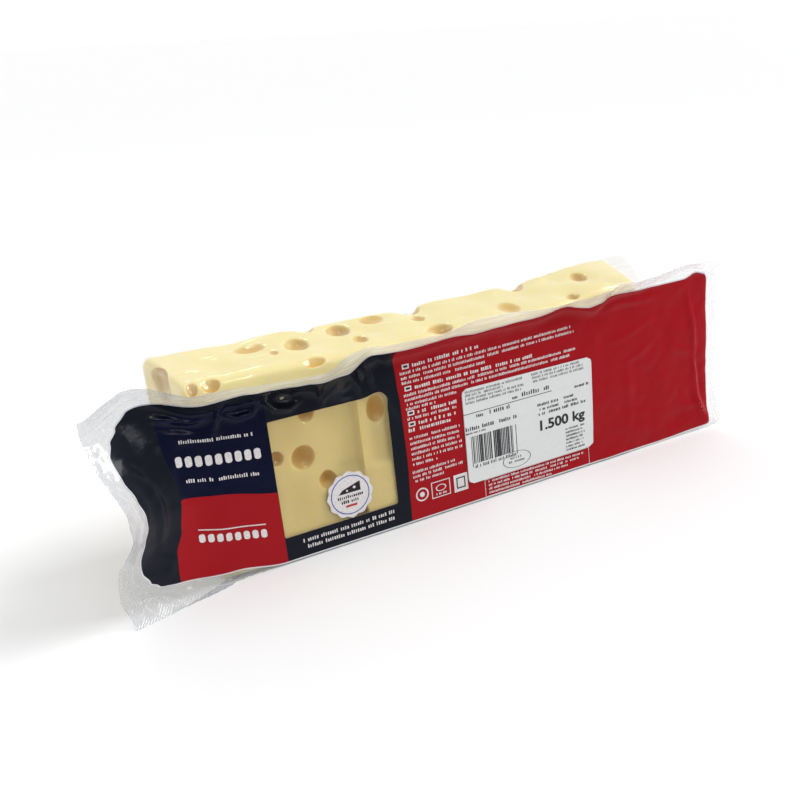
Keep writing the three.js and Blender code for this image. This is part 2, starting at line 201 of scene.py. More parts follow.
# The label's other marks: its rule, a flat ring, the upright bars and the plain weight.
LABEL_RULE = [(10.9, 52.8), (70, 53.2)]
LABEL_RING = (43.5, 18.6, 9.5)             # middle (s, t) and radius
LONG_BARS, LONG_BAR_FOOT, BAR_TOP = (14.4, 29.3, 43.8), 21.6, 39.6
BARS_FROM, BARS_TO, BAR_FOOT = 15.4, 43.4, 23.4
WEIGHT_AT, WEIGHT_HEIGHT, WEIGHT_WIDTH = (60.6, 29.2), 8.2, 32

# ---- Small helpers ---------------------------------------------------------------------------------------


def smooth(x):
    x = np.clip(x, 0.0, 1.0)
    return x * x * (3 - 2 * x)


def blend(knots, x):
    x = np.asarray(x, float)
    value = np.full(x.shape, float(knots[0][1]))
    for (a, p), (b, q) in zip(knots, knots[1:]):
        value = np.where(x >= a, p + (q - p) * smooth((x - a) / (b - a)), value)
    return value


def mean(f, steps=24):
    return sum(f((i + 0.5) / steps) for i in range(steps)) / steps


def ramp(a, b, count):
    return list(np.linspace(a, b, count, endpoint=False))


def noise(x, y, size, seed):
    """Smooth random heights, -1..1, that vary over the given size."""
    table = np.random.default_rng(seed).uniform(-1, 1, (64, 64))
    u, v = np.asarray(x) / size, np.asarray(y) / size
    i, j = np.floor(u).astype(int), np.floor(v).astype(int)
    fu, fv = smooth(u - i), smooth(v - j)
    low = table[i % 64, j % 64] * (1 - fu) + table[(i + 1) % 64, j % 64] * fu
    high = table[i % 64, (j + 1) % 64] * (1 - fu) + table[(i + 1) % 64, (j + 1) % 64] * fu
    return low * (1 - fv) + high * fv


def along(points, s, t):
    """Distance from (s, t) to a line through the points, and how far along the line, 0..1."""
    points = np.array(points, float)
    lengths = np.hypot(*(points[1:] - points[:-1]).T)
    best = np.full(np.shape(s), 1e9)
    place = np.zeros(np.shape(s))
    run = 0.0
    for (a, b), length in zip(zip(points, points[1:]), lengths):
        d = (b - a) / length
        k = np.clip((s - a[0]) * d[0] + (t - a[1]) * d[1], 0, length)
        gap = np.hypot(s - a[0] - k * d[0], t - a[1] - k * d[1])
        nearer = gap < best
        place = np.where(nearer, (run + k) / lengths.sum(), place)
        best = np.where(nearer, gap, best)
        run += length
    return best, place


def corner(a, b, radius):
    """The smaller of two distances to edges, rounded where both are under the radius."""
    round_part = radius - np.hypot(radius - a, radius - b)
    return np.where((a < radius) & (b < radius), round_part, np.minimum(a, b))


def colour(code):
    """sRGB hex to linear RGBA."""
    parts = [int(code[i:i + 2], 16) / 255 for i in (0, 2, 4)]
    return (*[c / 12.92 if c <= 0.04045 else ((c + 0.055) / 1.055) ** 2.4 for c in parts], 1.0)


def mesh_piece(name, points, faces, material, sharp=None):
    """A piece from points in mm. Its normals point outwards, and edges past sharp degrees stay crisp."""
    mesh = bpy.data.meshes.new(name)
    mesh.from_pydata(((np.asarray(points, float) + FRONT_FOOT) * MM).tolist(), [], faces)
    mesh.polygons.foreach_set("use_smooth", np.ones(len(mesh.polygons), bool))
    mesh.update()
    if sharp is not None:
        mesh.set_sharp_from_angle(angle=math.radians(sharp))
    mesh.materials.append(material)
    piece = bpy.data.objects.new(name, mesh)
    bpy.context.scene.collection.objects.link(piece)
    return piece


def grid(rows, columns, start=0, turned=False, closed=False):
    """Quads of a grid whose points run column by column, rows to a column."""
    faces = []
    for i in range(columns - 1):
        for j in range(rows if closed else rows - 1):
            k = (j + 1) % rows
            here, after = start + i * rows, start + (i + 1) * rows
            quad = [here + j, after + j, after + k, here + k]
            faces.append(quad[::-1] if turned else quad)
    return faces


def field(piece, name, values):
    """Stores one number a vertex for the material to read."""
    made = piece.data.attributes.new(name, "FLOAT", "POINT")
    made.data.foreach_set("value", np.asarray(values, np.float32).ravel())


def sheet_map(piece, s, t):
    """Stores each vertex's place on the flat film, in mm, as the piece's UV map."""
    loops = np.zeros(len(piece.data.loops), np.int64)
    piece.data.loops.foreach_get("vertex_index", loops)
    uv = np.stack([np.ravel(s)[loops], np.ravel(t)[loops]], -1)
    layer = piece.data.uv_layers.new(name="sheet")
    layer.uv.foreach_set("vector", uv.astype(np.float32).ravel())


# ---- Where the lid film lies -----------------------------------------------------------------------------


def lid_point(s, t):
    """The middle of the lid solid, as in the part's source."""
    s, t = np.broadcast_arrays(np.asarray(s, float), np.asarray(t, float))
    start, flop, lift = blend(FLOP_START, s), np.radians(blend(FLOP_ANGLE, s)), blend(FOOT_LIFT, s)
    up = np.maximum(t, 0)

    def turn(k):
        bent = smooth((up * k - start) / FLOP_BEND)
        return FRONT_LEAN * (1 - bent) - flop * bent

    squeeze = 1 - lift / BLOCK_HEIGHT
    y = up * mean(lambda k: np.sin(turn(k)), 60) * squeeze + math.tan(FRONT_LEAN) * lift - GAP - FILM / 2
    z = up * mean(lambda k: np.cos(turn(k)), 60) * squeeze + lift
    strip = blend(FOOT_STRIP, s)
    slope = np.arcsin(np.minimum((lift - FILM / 2) / strip, 0.95))
    forward = np.clip(-t, 0, strip)
    back = np.maximum(-t - strip, 0)
    y = y - forward * np.cos(slope) + back
    z = z - forward * np.sin(slope)
    z = np.where(back > 0, z + (0.12 - z) * smooth(back / 0.6), z)

    left, right = np.maximum(-HALF - s, 0), np.maximum(s - HALF, 0)
    x = np.clip(s, -HALF, HALF)
    span = -HALF - SHEET_LEFT
    bow = blend(LEFT_BOW, z + BOW_SLANT * (1 - left / span) * smooth((z - 50) / 10))

    def steepness(k):
        return np.abs(bow) * BOW_POWER / span * (left * k / span) ** (BOW_POWER - 1)

    x = x - left * mean(lambda k: np.sqrt(np.maximum(1 - steepness(k) ** 2, 0.05)))
    x = x + CORNER_TUCK * (left / span) * smooth(1 - z / 16)
    y = y + bow * (left / span) ** BOW_POWER
    sweep, curl = np.radians(blend(RIGHT_SWEEP, z)), np.radians(blend(RIGHT_CURL, z))
    border = PRINT_RIGHT - HALF - 6

    def angle(k):
        return sweep * smooth(right * k / 40) + curl * smooth((right * k - border) / 10)

    x = x + right * mean(lambda k: np.cos(angle(k)))
    y = y + right * mean(lambda k: np.sin(angle(k)))
    return np.stack([x, y, z], -1)


def lid_normal(s, t, d=0.5):
    t = np.maximum(t, d)
    across = np.cross(lid_point(s + d, t) - lid_point(s - d, t), lid_point(s, t + d) - lid_point(s, t - d))
    return across / np.linalg.norm(across, axis=-1, keepdims=True)


# Folds and creases of the lid: a line through (s, t) points, its width and height in mm. A minus
# height is a dent. They are strongest in the middle and fade out at the ends.
LID_FOLDS = [
    ([(-152, 91), (-142, 88.5), (-133, 85.5), (-124, 84.5)], 1.9, 1.5),
    ([(-148, 86), (-138, 83), (-128, 79)], 2.4, -0.8),
    ([(-123, 77), (-120.5, 86), (-118.5, 97)], 1.3, 1.5),
    ([(-121, 86), (-112, 82.5), (-104, 83.5), (-98.5, 92)], 1.5, 1.6),
    ([(-118, 92), (-110, 88.5), (-102, 91)], 2.2, -1.0),
    ([(-98.5, 98), (-97, 89), (-92.5, 82.6), (-85, 80.8), (-79, 83.5)], 1.3, 1.9),
    ([(-94, 91), (-88, 86.5), (-81, 87)], 2.8, -1.8),
    ([(-71.5, 97), (-69.4, 87), (-68, 78.5)], 0.8, 1.2),
    ([(-68, 78.5), (-65.8, 84), (-61, 93)], 0.8, 1.2),
    ([(-60, 84), (-57, 80), (-52, 79)], 1.6, 0.8),
    ([(-55, 94), (-50, 87), (-47.2, 79)], 1.2, 1.4),
    ([(-52, 96), (-46, 90), (-44, 84)], 1.8, -1.0),
    ([(-45, 97), (-41.5, 90), (-39.6, 82)], 1.2, 1.3),
    ([(-37, 82), (-32, 72.5), (-28, 63)], 1.3, 0.9),
    ([(-40, 101), (-36, 95), (-31, 90)], 2.2, -1.0),
    ([(-150, 79), (-147, 66), (-146, 56), (-144, 43)], 2.4, 0.8),
    ([(-162, 66), (-157, 52), (-156, 38), (-158, 25)], 2.8, 1.0),
    ([(-168, 78), (-161, 72), (-156, 62)], 2.6, -0.9),
    ([(-159, 22), (-154, 14), (-155, 6)], 2.4, 0.8),
    ([(106, 92), (118, 95), (134, 94), (152, 94)], 2.6, 0.9),
    ([(96, 88), (101, 81), (103, 72)], 3.2, 0.8),
    ([(174, 96), (179, 72), (181, 45), (184, 20), (190, 3)], 2.2, 1.2),
    ([(178, 62), (184, 40), (187, 22)], 2.0, -0.7),
    ([(178, 32), (185, 14), (192, 3)], 1.8, 1.0),
    ([(162, 62), (171, 55), (181, 52)], 2.2, 0.6),
    ([(164, 24), (175, 17), (188, 18)], 2.0, 0.6),
    ([(126, 62), (127, 40), (126, 12)], 3.5, 0.45),
    ([(112, 72), (130, 76), (148, 82)], 2.6, 0.55),
    ([(120, 56), (136, 62), (152, 71)], 2.4, 0.5),
    ([(-176, 60), (-170, 48), (-172, 34)], 1.6, 0.9),
    ([(-182, 74), (-174, 66), (-171, 56)], 1.4, 0.8),
    ([(-180, 26), (-173, 20), (-166, 8)], 1.3, 0.9),
    ([(-176, 12), (-166, 2), (-154, -5)], 1.1, 0.8),
    ([(-160, -2), (-152, -7), (-140, -8)], 1.0, 0.5),
    ([(-150, -1), (-144, -3.5), (-139, -0.5)], 0.9, 0.7),
    ([(-176, 96), (-168, 101), (-156, 107)], 1.2, 0.7),
]


def lid_relief(s, t):
    """How far the film stands out from the smooth sheet."""
    height = np.zeros(np.shape(s))
    for points, width, tall in LID_FOLDS:
        gap, run = along(points, s, t)
        if points[0][0] < -28 and min(place[1] for place in points) > 62:    # most crumpled on the dark end
            tall, width = 1.4 * tall, width + 0.15
        height = height + tall * np.exp(-(gap / width) ** 2) * np.sin(np.pi * np.clip(run, 0.04, 0.96)) ** 0.7
    free = smooth((np.abs(s + 16) - 96) / 20)          # away from the block, where nothing backs it
    top = smooth((t - blend(FLOP_START, s) + 4) / 8)
    print_edge = np.maximum(blend(PRINT_LEFT, t) - s, np.maximum(s - PRINT_RIGHT, t - blend(PRINT_TOP, s)))
    border = smooth(print_edge / 3)
    height = height + 0.4 * noise(s, t, 14, 3) * free + 0.22 * noise(s, t, 6, 4) * free
    height = height + 0.45 * noise(s, t * 0.6, 8, 5) * top * (1 - border)
    # Stretched by the sealing bar, the border is crinkled across its width.
    ends = smooth((np.abs(s + 16) - 100) / 30)
    crinkle = 0.4 * noise(s * 1.3 + t, t * 1.3 - s, 5, 7) + 0.3 * noise(s, t, 9, 8)
    height = height + border * (0.3 + 0.7 * ends) * crinkle
    return height + 0.05 * noise(s, t, 9, 6)


def lid_surface(s, t, out=0.0):
    s, t = np.broadcast_arrays(np.asarray(s, float), np.asarray(t, float))
    lying = smooth((t + 1 + 9 * smooth((-143 - s) / 14)) / 3)     # the foot of the film lies flat
    return lid_point(s, t) + lid_normal(s, t) * (lid_relief(s, t) * lying + out)[..., None]


# ---- Materials -------------------------------------------------------------------------------------------


def add(tree, kind, *inputs, named=None, out=0, **settings):
    """Adds a node with its settings, and sets or links its inputs in order or by name."""
    made = tree.nodes.new(kind if "Node" in kind else "ShaderNode" + kind)
    for key, value in settings.items():
        setattr(made, key, value)
    for key, value in [*enumerate(inputs), *(named or {}).items()]:
        if value is None:
            continue
        if isinstance(value, bpy.types.NodeSocket):
            tree.links.new(value, made.inputs[key])
        else:
            made.inputs[key].default_value = value
    return made.outputs[out] if len(made.outputs) else made


def new_material(name):
    material = bpy.data.materials.new(name)
    material.use_nodes = True
    tree = material.node_tree
    tree.nodes.clear()
    return material, tree


def cheese_material():
    """Ripened cheese: waxy, pale yellow, lets light in a few millimetres, so its shadows are warm and its
    edges glow. The walls of the eyes are deeper yellow, and painted shade darkens them more towards the
    bottom."""
    material, tree = new_material("cheese_paste")
    place = add(tree, "TexCoord", out=3)
    clouds = add(tree, "TexNoise", place, named={"Scale": 40.0, "Detail": 3.0})
    grain = add(tree, "TexNoise", place, named={"Scale": 900.0, "Detail": 2.0})
    eye_shade = add(tree, "Attribute", attribute_name="eye_wall_shade", out=2)
    paste = add(tree, "MixRGB", clouds, colour("E4D593"), colour("ECE1A9"))
    # The eyes' walls are mixed towards deep ochre, most at their bottoms: a deeper yellow and painted shade
    # inside the eyes.
    paste = add(tree, "MixRGB", eye_shade, paste, colour("D0A22A"))
    height = add(tree, "Math", grain, 0.5, operation="SUBTRACT")
    bump = add(tree, "Bump", named={"Strength": 0.25, "Distance": 0.0002, "Height": height})
    shader = add(tree, "BsdfPrincipled", named={
        "Base Color": paste, "Roughness": 0.42, "IOR": 1.45, "Normal": bump,
        "Subsurface Weight": 0.8, "Subsurface Radius": (1.0, 0.7, 0.28), "Subsurface Scale": 0.0035,
    })
    add(tree, "OutputMaterial", shader)
    return material


def clear_film_shader(tree, haze, normal, roughness, tint=None):
    """Thin clear polyamide film: nearly everything shows through it, with sharp reflections that grow
    towards grazing angles and a little milkiness."""
    through = add(tree, "BsdfTransparent", tint or colour("FCFCFC"))
    milk = add(tree, "BsdfPrincipled", named={
        "Base Color": colour("EDEEEF"), "Roughness": roughness, "IOR": 1.45, "Normal": normal,
    })
    glow = add(tree, "BsdfTranslucent", colour("F4F4F4"))      # it is lit from behind too
    milk = add(tree, "MixShader", 0.5, milk, glow)
    # The haze scatters light forwards, so hardly any is lost on what lies close behind it.
    lost = add(tree, "MapRange", add(tree, "LightPath", out="Is Shadow Ray"), 0.0, 1.0, 1.0, 0.1)
    haze = add(tree, "Math", haze, lost, operation="MULTIPLY")
    sheet = add(tree, "MixShader", haze, through, milk)
    gloss = add(tree, "BsdfAnisotropic", colour("FFFFFF"), named={"Roughness": roughness, "Normal": normal})
    # Schlick's rule, which is the same from both sides of the thin sheet.
    facing = add(tree, "LayerWeight", 0.5, normal, out=1)
    grazing = add(tree, "Math", facing, 5.0, operation="POWER")
    mirrored = add(tree, "MapRange", grazing, 0.0, 1.0, 0.035, 0.6)
    return add(tree, "MixShader", mirrored, sheet, gloss)


def formed_film_material():
    """Clear vacuum film drawn tight over the block, with fine stretch wrinkles, whiter where it is gathered
    at the two ends."""
    material, tree = new_material("clear_formed_film")
    place = add(tree, "TexCoord", out=3)
    stretched = add(tree, "Mapping", place, named={"Scale": (0.35, 1.0, 1.0), "Rotation": (0.0, 0.3, 0.2)})
    wrinkle = add(tree, "TexNoise", stretched, named={"Scale": 160.0, "Detail": 2.0, "Distortion": 0.8})
    bump = add(tree, "Bump", named={"Strength": 0.5, "Distance": 0.0008, "Height": wrinkle})
    from_middle = add(tree, "Math", add(tree, "SeparateXYZ", place), 0.0115, operation="ADD")
    from_middle = add(tree, "Math", from_middle, operation="ABSOLUTE")
    gathered = add(tree, "MapRange", from_middle, 0.116, 0.134, 0.03, 0.24)
    add(tree, "OutputMaterial", clear_film_shader(tree, gathered, bump, 0.09))
    return material


def printed_film_material():
    """Lid film, printed on its inner side in red, black and navy over white, so the colours lie under a
    smooth glossy skin; clear in the window and in the welded border, which is crimped by the sealing bar."""
    material, tree = new_material("printed_lid_film")
    fields = ("print", "window", "navy", "red")
    read = {name: add(tree, "Attribute", attribute_name=name, out=2) for name in fields}
    inside = {
        name: add(tree, "MapRange", value, -0.12, 0.12, interpolation_type="SMOOTHSTEP")
        for name, value in read.items()
    }
    base = add(tree, "MixRGB", inside["navy"], colour("171A23"), colour("0A0E29"))
    base = add(tree, "MixRGB", inside["red"], base, colour("9C131B"))
    # White ink runs most of a millimetre past the colours at the outline.
    inked = add(tree, "MapRange", read["print"], 0.55, 0.8, interpolation_type="SMOOTHSTEP")
    base = add(tree, "MixRGB", inked, colour("D4D6DA"), base)
    clear_of_window = add(tree, "Math", read["window"], -1.0, operation="MULTIPLY")
    margin = add(tree, "Math", read["print"], clear_of_window, operation="MINIMUM")
    printed = add(tree, "MapRange", margin, -0.12, 0.12, interpolation_type="SMOOTHSTEP")

    sheet = add(tree, "UVMap", uv_map="sheet")
    wave = add(tree, "TexNoise", sheet, named={"Scale": 0.22, "Detail": 2.0})
    # The sealing bar leaves fine diagonal ribs about 1.3 mm apart.
    turned = add(tree, "Mapping", sheet, named={"Rotation": (0.0, 0.0, 0.72)})
    ribs = add(tree, "TexWave", turned, named={"Scale": 0.24, "Distortion": 0.0})
    crimp = add(tree, "MapRange", read["print"], -6.5, -8.5)
    ribbed = add(tree, "Math", ribs, crimp, operation="MULTIPLY")
    height = add(tree, "Math", wave, add(tree, "Math", ribbed, 0.3, operation="MULTIPLY"), operation="ADD")
    bump = add(tree, "Bump", named={"Strength": 0.35, "Distance": 0.0004, "Height": height})

    ink = add(tree, "BsdfPrincipled", named={
        "Base Color": base, "Roughness": 0.2, "IOR": 1.42, "Specular IOR Level": 0.18, "Normal": bump,
    })
    # The weld is milkier than plain film, most of all along the top and in two fine lines.
    along_film = add(tree, "SeparateXYZ", sheet)
    stretched = add(tree, "MapRange", along_film, -112.0, -140.0)    # past the block's left end
    upper = add(tree, "MapRange", along_film.node.outputs[1], 92.0, 98.0, 0.2, 0.42)
    weld = add(tree, "MixRGB", stretched, upper, (0.2, 0.2, 0.2, 1.0))
    weld = add(tree, "Math", ribbed, 0.12, weld, operation="MULTIPLY_ADD")
    lines = add(tree, "Math", add(tree, "Math", read["print"], 1.02, operation="MULTIPLY"), operation="SINE")
    line = add(tree, "MapRange", lines, 0.93, 1.0, 0.0, 0.16)
    weld = add(tree, "Math", weld, line, operation="ADD")
    milk = add(tree, "MixRGB", inside["window"], weld, (0.02, 0.02, 0.02, 1.0))
    # Where the two films are stretched together past the block they are greyer.
    border = add(tree, "MixRGB", stretched, colour("FAFAFB"), colour("D9DADD"))
    # In the window the clear film is tinted warm: painted shade standing in for the lesser light on the
    # cheese's front face.
    tint = add(tree, "MixRGB", inside["window"], border, colour("FBF5EA"))
    clear = clear_film_shader(tree, milk, bump, 0.12, tint)
    add(tree, "OutputMaterial", add(tree, "MixShader", printed, clear, ink))
    return material


def lid_back_material():
    """The inner side of the lid film: the white under-ink shows, and the rest is clear."""
    material, tree = new_material("lid_film_inner_side")
    read = {name: add(tree, "Attribute", attribute_name=name, out=2) for name in ("print", "window")}
    margin = add(tree, "Math", read["print"], add(tree, "Math", read["window"], -1.0, operation="MULTIPLY"),
                 operation="MINIMUM")
    printed = add(tree, "MapRange", margin, -0.12, 0.12, interpolation_type="SMOOTHSTEP")
    sheet = add(tree, "UVMap", uv_map="sheet")
    wave = add(tree, "TexNoise", sheet, named={"Scale": 0.3, "Detail": 2.0})
    bump = add(tree, "Bump", named={"Strength": 0.3, "Distance": 0.0004, "Height": wave})
    ink = add(tree, "BsdfPrincipled", named={
        "Base Color": colour("D9D9DA"), "Roughness": 0.25, "IOR": 1.42, "Normal": bump,
    })
    add(tree, "OutputMaterial", add(tree, "MixShader", printed, add(tree, "BsdfTransparent"), ink))
    return material


def ink_material(name, code, thin):
    """Gravure ink just under the film's gloss, a little uneven where the cylinder laid it thin."""
    material, tree = new_material(name)
    place = add(tree, "TexCoord", out=3)
    laid = add(tree, "TexNoise", place, named={"Scale": 1400.0, "Detail": 2.0})
    tone = add(tree, "MixRGB", add(tree, "MapRange", laid, 0.35, 0.65), colour(thin), colour(code))
    bump = add(tree, "Bump", named={"Strength": 0.1, "Distance": 0.0001, "Height": laid})
    shader = add(tree, "BsdfPrincipled", named={
        "Base Color": tone, "Roughness": 0.3, "IOR": 1.42, "Normal": bump,
    })
    add(tree, "OutputMaterial", shader)
    return material


def paper_material():
    """Thermal label paper: smooth, off-white, with a faint fibre cloud and a soft sheen."""
    material, tree = new_material("thermal_label_paper")
    place = add(tree, "TexCoord", out=3)
    fibre = add(tree, "TexNoise", place, named={"Scale": 700.0, "Detail": 3.0})
    tone = add(tree, "MixRGB", fibre, colour("D3D6D6"), colour("E0E2E1"))
    bump = add(tree, "Bump", named={"Strength": 0.15, "Distance": 0.0001, "Height": fibre})
    shader = add(tree, "BsdfPrincipled", named={
        "Base Color": tone, "Roughness": 0.45, "IOR": 1.45, "Normal": bump,
    })
    add(tree, "OutputMaterial", shader)
    return material


def floor_material():
    material, tree = new_material("studio_floor")
    shader = add(tree, "BsdfPrincipled", named={
        "Base Color": (0.86, 0.86, 0.865, 1.0), "Roughness": 0.6, "Specular IOR Level": 0.2,
    })
    add(tree, "OutputMaterial", shader)
    return material


# ---- The lid film ----------------------------------------------------------------------------------------


def window_distance(s, t):
    left, right, foot, top = WINDOW
    raised = top + 1.5 * np.exp(-((s + 38.0) / 4.5) ** 2)
    low = corner(s - left, t - foot, 0.8)
    high = corner(right - s, raised - t, 4.0)
    return np.minimum(low, np.minimum(high, np.minimum(right - s, raised - t)))


def lid_fields(s, t):
    """Distances inside the print, its window, and its navy and red fields, in mm."""
    left = s - blend(PRINT_LEFT, t)
    tilt = np.gradient(blend(PRINT_LEFT, np.arange(-20, 130.0)), 1.0)
    left = left / np.sqrt(1 + np.interp(t, np.arange(-20, 130.0), tilt) ** 2)
    top = blend(PRINT_TOP, s) - t
    right = PRINT_RIGHT + 0.6 - s
    upper = np.minimum(corner(left, top, 5), corner(right, top, 5))
    lower = np.minimum(corner(left, t - PRINT_LEFT_LOW, 3), corner(right, t + 0.2, 3))
    fall = (s - SPLIT_FROM) / (SPLIT_TO - SPLIT_FROM)
    split = PANEL_SPLIT_LEFT + (PANEL_SPLIT_RIGHT - PANEL_SPLIT_LEFT) * fall
    panel = np.minimum(s - blend(PANEL_LEFT, t), WINDOW[0] - 0.2 - s)
    navy = np.minimum(panel, np.minimum(t - split, PANEL_TOP - t))
    red_panel = np.minimum(panel, split - t)
    red_side = s - blend(RED_FROM, t)
    return {
        "print": np.minimum(upper, lower), "window": window_distance(s, t),
        "navy": navy, "red": np.maximum(red_panel, red_side),
    }


def lid_piece():
    # The grid is finest where the film is most crumpled.
    s_values = np.array([
        *ramp(SHEET_LEFT, -126, 54), *ramp(-126, -26, 130), *ramp(-26, 110, 76), *ramp(110, SHEET_RIGHT, 66),
        SHEET_RIGHT,
    ])
    t_values = np.array([
        *ramp(SHEET_FOOT, -1, 10), *ramp(-1, 2, 5), *ramp(2, 74, 52), *ramp(74, 100, 48),
        *ramp(100, SHEET_TOP, 16), SHEET_TOP,
    ])
    s, t = np.meshgrid(s_values, t_values, indexing="ij")
    front, back = lid_surface(s, t, SKIN), lid_surface(s, t, -SKIN)
    n, m = len(t_values), len(s_values)
    faces = grid(n, m) + grid(n, m, n * m, turned=True)
    rim = [i * n for i in range(m)] + [(m - 1) * n + j for j in range(1, n)]
    rim += [i * n + n - 1 for i in range(m - 2, -1, -1)] + list(range(n - 2, 0, -1))
    faces += [[b, a, a + n * m, b + n * m] for a, b in zip(rim, rim[1:] + rim[:1])]
    piece = mesh_piece("printed_lid", np.concatenate([front.reshape(-1, 3), back.reshape(-1, 3)]), faces,
                       printed_film_material(), sharp=70)
    piece.data.materials.append(lid_back_material())
    slot = np.zeros(len(faces), np.int32)
    slot[(n - 1) * (m - 1):2 * (n - 1) * (m - 1)] = 1
    piece.data.polygons.foreach_set("material_index", slot)
    for name, values in lid_fields(s, t).items():
        field(piece, name, np.concatenate([values.ravel()] * 2))
    sheet_map(piece, np.concatenate([s.ravel()] * 2), np.concatenate([t.ravel()] * 2))
    return piece


# ---- The cheese and its film -----------------------------------------------------------------------------


def section(x, inset, step):
    """The block's outline across it at x as (y, z) points, going round from the front's foot."""
    top = BLOCK_HEIGHT + float(blend(TOP_RISE, x))
    lean = math.tan(FRONT_LEAN)
    front = top - FRONT_DROP
    corners = np.array([(0, 0), (lean * front, front), (BLOCK_DEPTH - 1, top), (BLOCK_DEPTH, 0)], float)
    middle = corners.mean(0)
    outline = []
    for i in range(4):
        here, before, after = corners[i], corners[i - 1], corners[(i + 1) % 4]
        into = here + (before - here) / np.linalg.norm(before - here) * BLOCK_EDGE
        out = here + (after - here) / np.linalg.norm(after - here) * BLOCK_EDGE
        for k in np.linspace(0, 1, 7):
            outline.append((1 - k) ** 2 * into + 2 * k * (1 - k) * here + k * k * out)
        last = after + (here - after) / np.linalg.norm(here - after) * BLOCK_EDGE
        count = max(2, round(SIDE_LENGTHS[i] / step))
        for k in range(1, count):
            outline.append(out + (last - out) * k / count)
    outline = np.array(outline)
    away = outline - middle
    return middle + away * (1 - inset / np.linalg.norm(away, axis=1, keepdims=True))


def block_rings(inset, step):
    """Sections in a row from the left end to the right, with rounded ends that are cut askew."""
    half = HALF - END_ROUND
    rings = []

    def ring(u, shrink, push):
        outline = section(u * HALF, inset + shrink, step)
        skew = (-LEFT_SKEW if u < 0 else RIGHT_SKEW) * u * u * outline[:, 0] / BLOCK_DEPTH
        x = u * (half - inset * 0.5) + skew + push
        return np.column_stack([x, outline])

    turns = [math.radians(a) for a in (90, 72, 54, 36, 18)]
    count = round(BLOCK_LENGTH / step)
    for a in turns:
        rings.append(ring(-1, END_ROUND * (1 - math.cos(a)), -END_ROUND * math.sin(a)))
    at_step = np.array([-50.3, -49.9, -49.5, -49.1, -48.7, -48.3]) / HALF      # sections close together
    places = np.concatenate([np.linspace(-1, 1, count), at_step])
    rings += [ring(u, 0, 0) for u in np.sort(places)]
    for a in turns[::-1]:
        rings.append(ring(1, END_ROUND * (1 - math.cos(a)), END_ROUND * math.sin(a)))
    return np.array(rings)


def capped(rings, step, relief):
    """Points and faces of a closed tube: the rings, and each end filled with smaller rings in relief."""
    n = rings.shape[1]
    ends = []
    for ring, out in ((rings[0], -1), (rings[-1], 1)):
        middle = ring.mean(0)
        # The cut face is a plane, and what bulges or sags at its edge fades out over it.
        plane = np.linalg.lstsq(np.column_stack([np.ones(n), ring[:, 1:]]), ring[:, 0], rcond=None)[0]
        edge = ring[:, 0] - plane[0] - ring[:, 1:] @ plane[1:]
        filling = []
        for k in np.linspace(1, 0, round(32 / step))[1:-1]:
            inner = middle + (ring - middle) * k
            inner[:, 0] = plane[0] + inner[:, 1:] @ plane[1:] + edge * smooth((k - 0.7) / 0.3)
            inner[:, 0] += out * relief(inner) * smooth((1 - k) / 0.2)
            filling.append(inner)
        ends.append(filling)
    all_rings = [*ends[0][::-1], *rings, *ends[1]]
    points = np.concatenate(all_rings)
    faces = grid(n, len(all_rings), turned=False, closed=True)
    first, last = len(points), len(points) + 1
    points = np.vstack([points, all_rings[0].mean(0), all_rings[-1].mean(0)])
    base = (len(all_rings) - 1) * n
    faces += [[j, (j + 1) % n, first] for j in range(n)]
    faces += [[base + (j + 1) % n, base + j, last] for j in range(n)]
    return points, faces


def block_height(x, y):
    return BLOCK_HEIGHT + blend(TOP_RISE, x) - FRONT_DROP * (1 - np.asarray(y) / BLOCK_DEPTH)


def source_random(seed):
    """The same repeatable numbers as the part's source uses for the eyes on its far sides."""
    state = seed
    while True:
        state = (state * 1664525 + 1013904223) % 4294967296
        yield state / 4294967296


# Shallow hollows of the cheese: middle, reach and depth. The film follows them.
HOLLOWS = [((x, y, BLOCK_HEIGHT), reach, deep) for x, y, reach, deep in [
    (-112, 30, 10, 1.2), (-98, 52, 9, 1.0), (-90, 40, 12, 1.5), (-76, 18, 9, 1.2), (-66, 36, 11, 1.8),
    (-52, 22, 10, 1.2), (-44, 44, 11, 1.8), (-28, 34, 9, 1.4), (-20, 14, 10, 1.0), (-16, 48, 8, 1.2),
    (4, 24, 11, 1.8), (10, 44, 12, 1.3), (28, 26, 10, 1.1), (44, 46, 12, 1.3), (54, 22, 10, 1.5),
    (70, 38, 10, 1.1), (78, 54, 9, 1.6), (92, 22, 9, 1.6), (100, 44, 9, 1.4), (114, 36, 9, 1.8),
    (124, 18, 8, 1.3), (2, 58, 9, 2.0), (-58, 58, 7, 1.4),
]] + [
    ((-90, 3.4, 27.7), 7, 1.0), ((-69, 2.6, 21.2), 6.5, 0.9), ((-92, 8, 66), 7, 0.8),
    ((-86, 9, 76), 5, 0.9), ((-HALF - 4, 30, 62), 10, 1.2), ((-HALF - 2, 14, 84), 9, 1.4),
    ((-HALF - 6, 46, 92), 8, 1.0), ((-HALF - 2, 20, 34), 12, 1.0), ((40, BLOCK_DEPTH, 60), 18, 1.2),
    ((-50, BLOCK_DEPTH, 40), 16, 1.2), ((-96, BLOCK_DEPTH, 78), 14, 1.0), ((96, BLOCK_DEPTH, 84), 14, 1.2),
]


def hollowed(p):
    depth = np.zeros(p.shape[:-1])
    for middle, reach, deep in HOLLOWS:
        depth = depth + deep * np.exp(-(((p - middle) / reach) ** 2).sum(-1))
    return depth


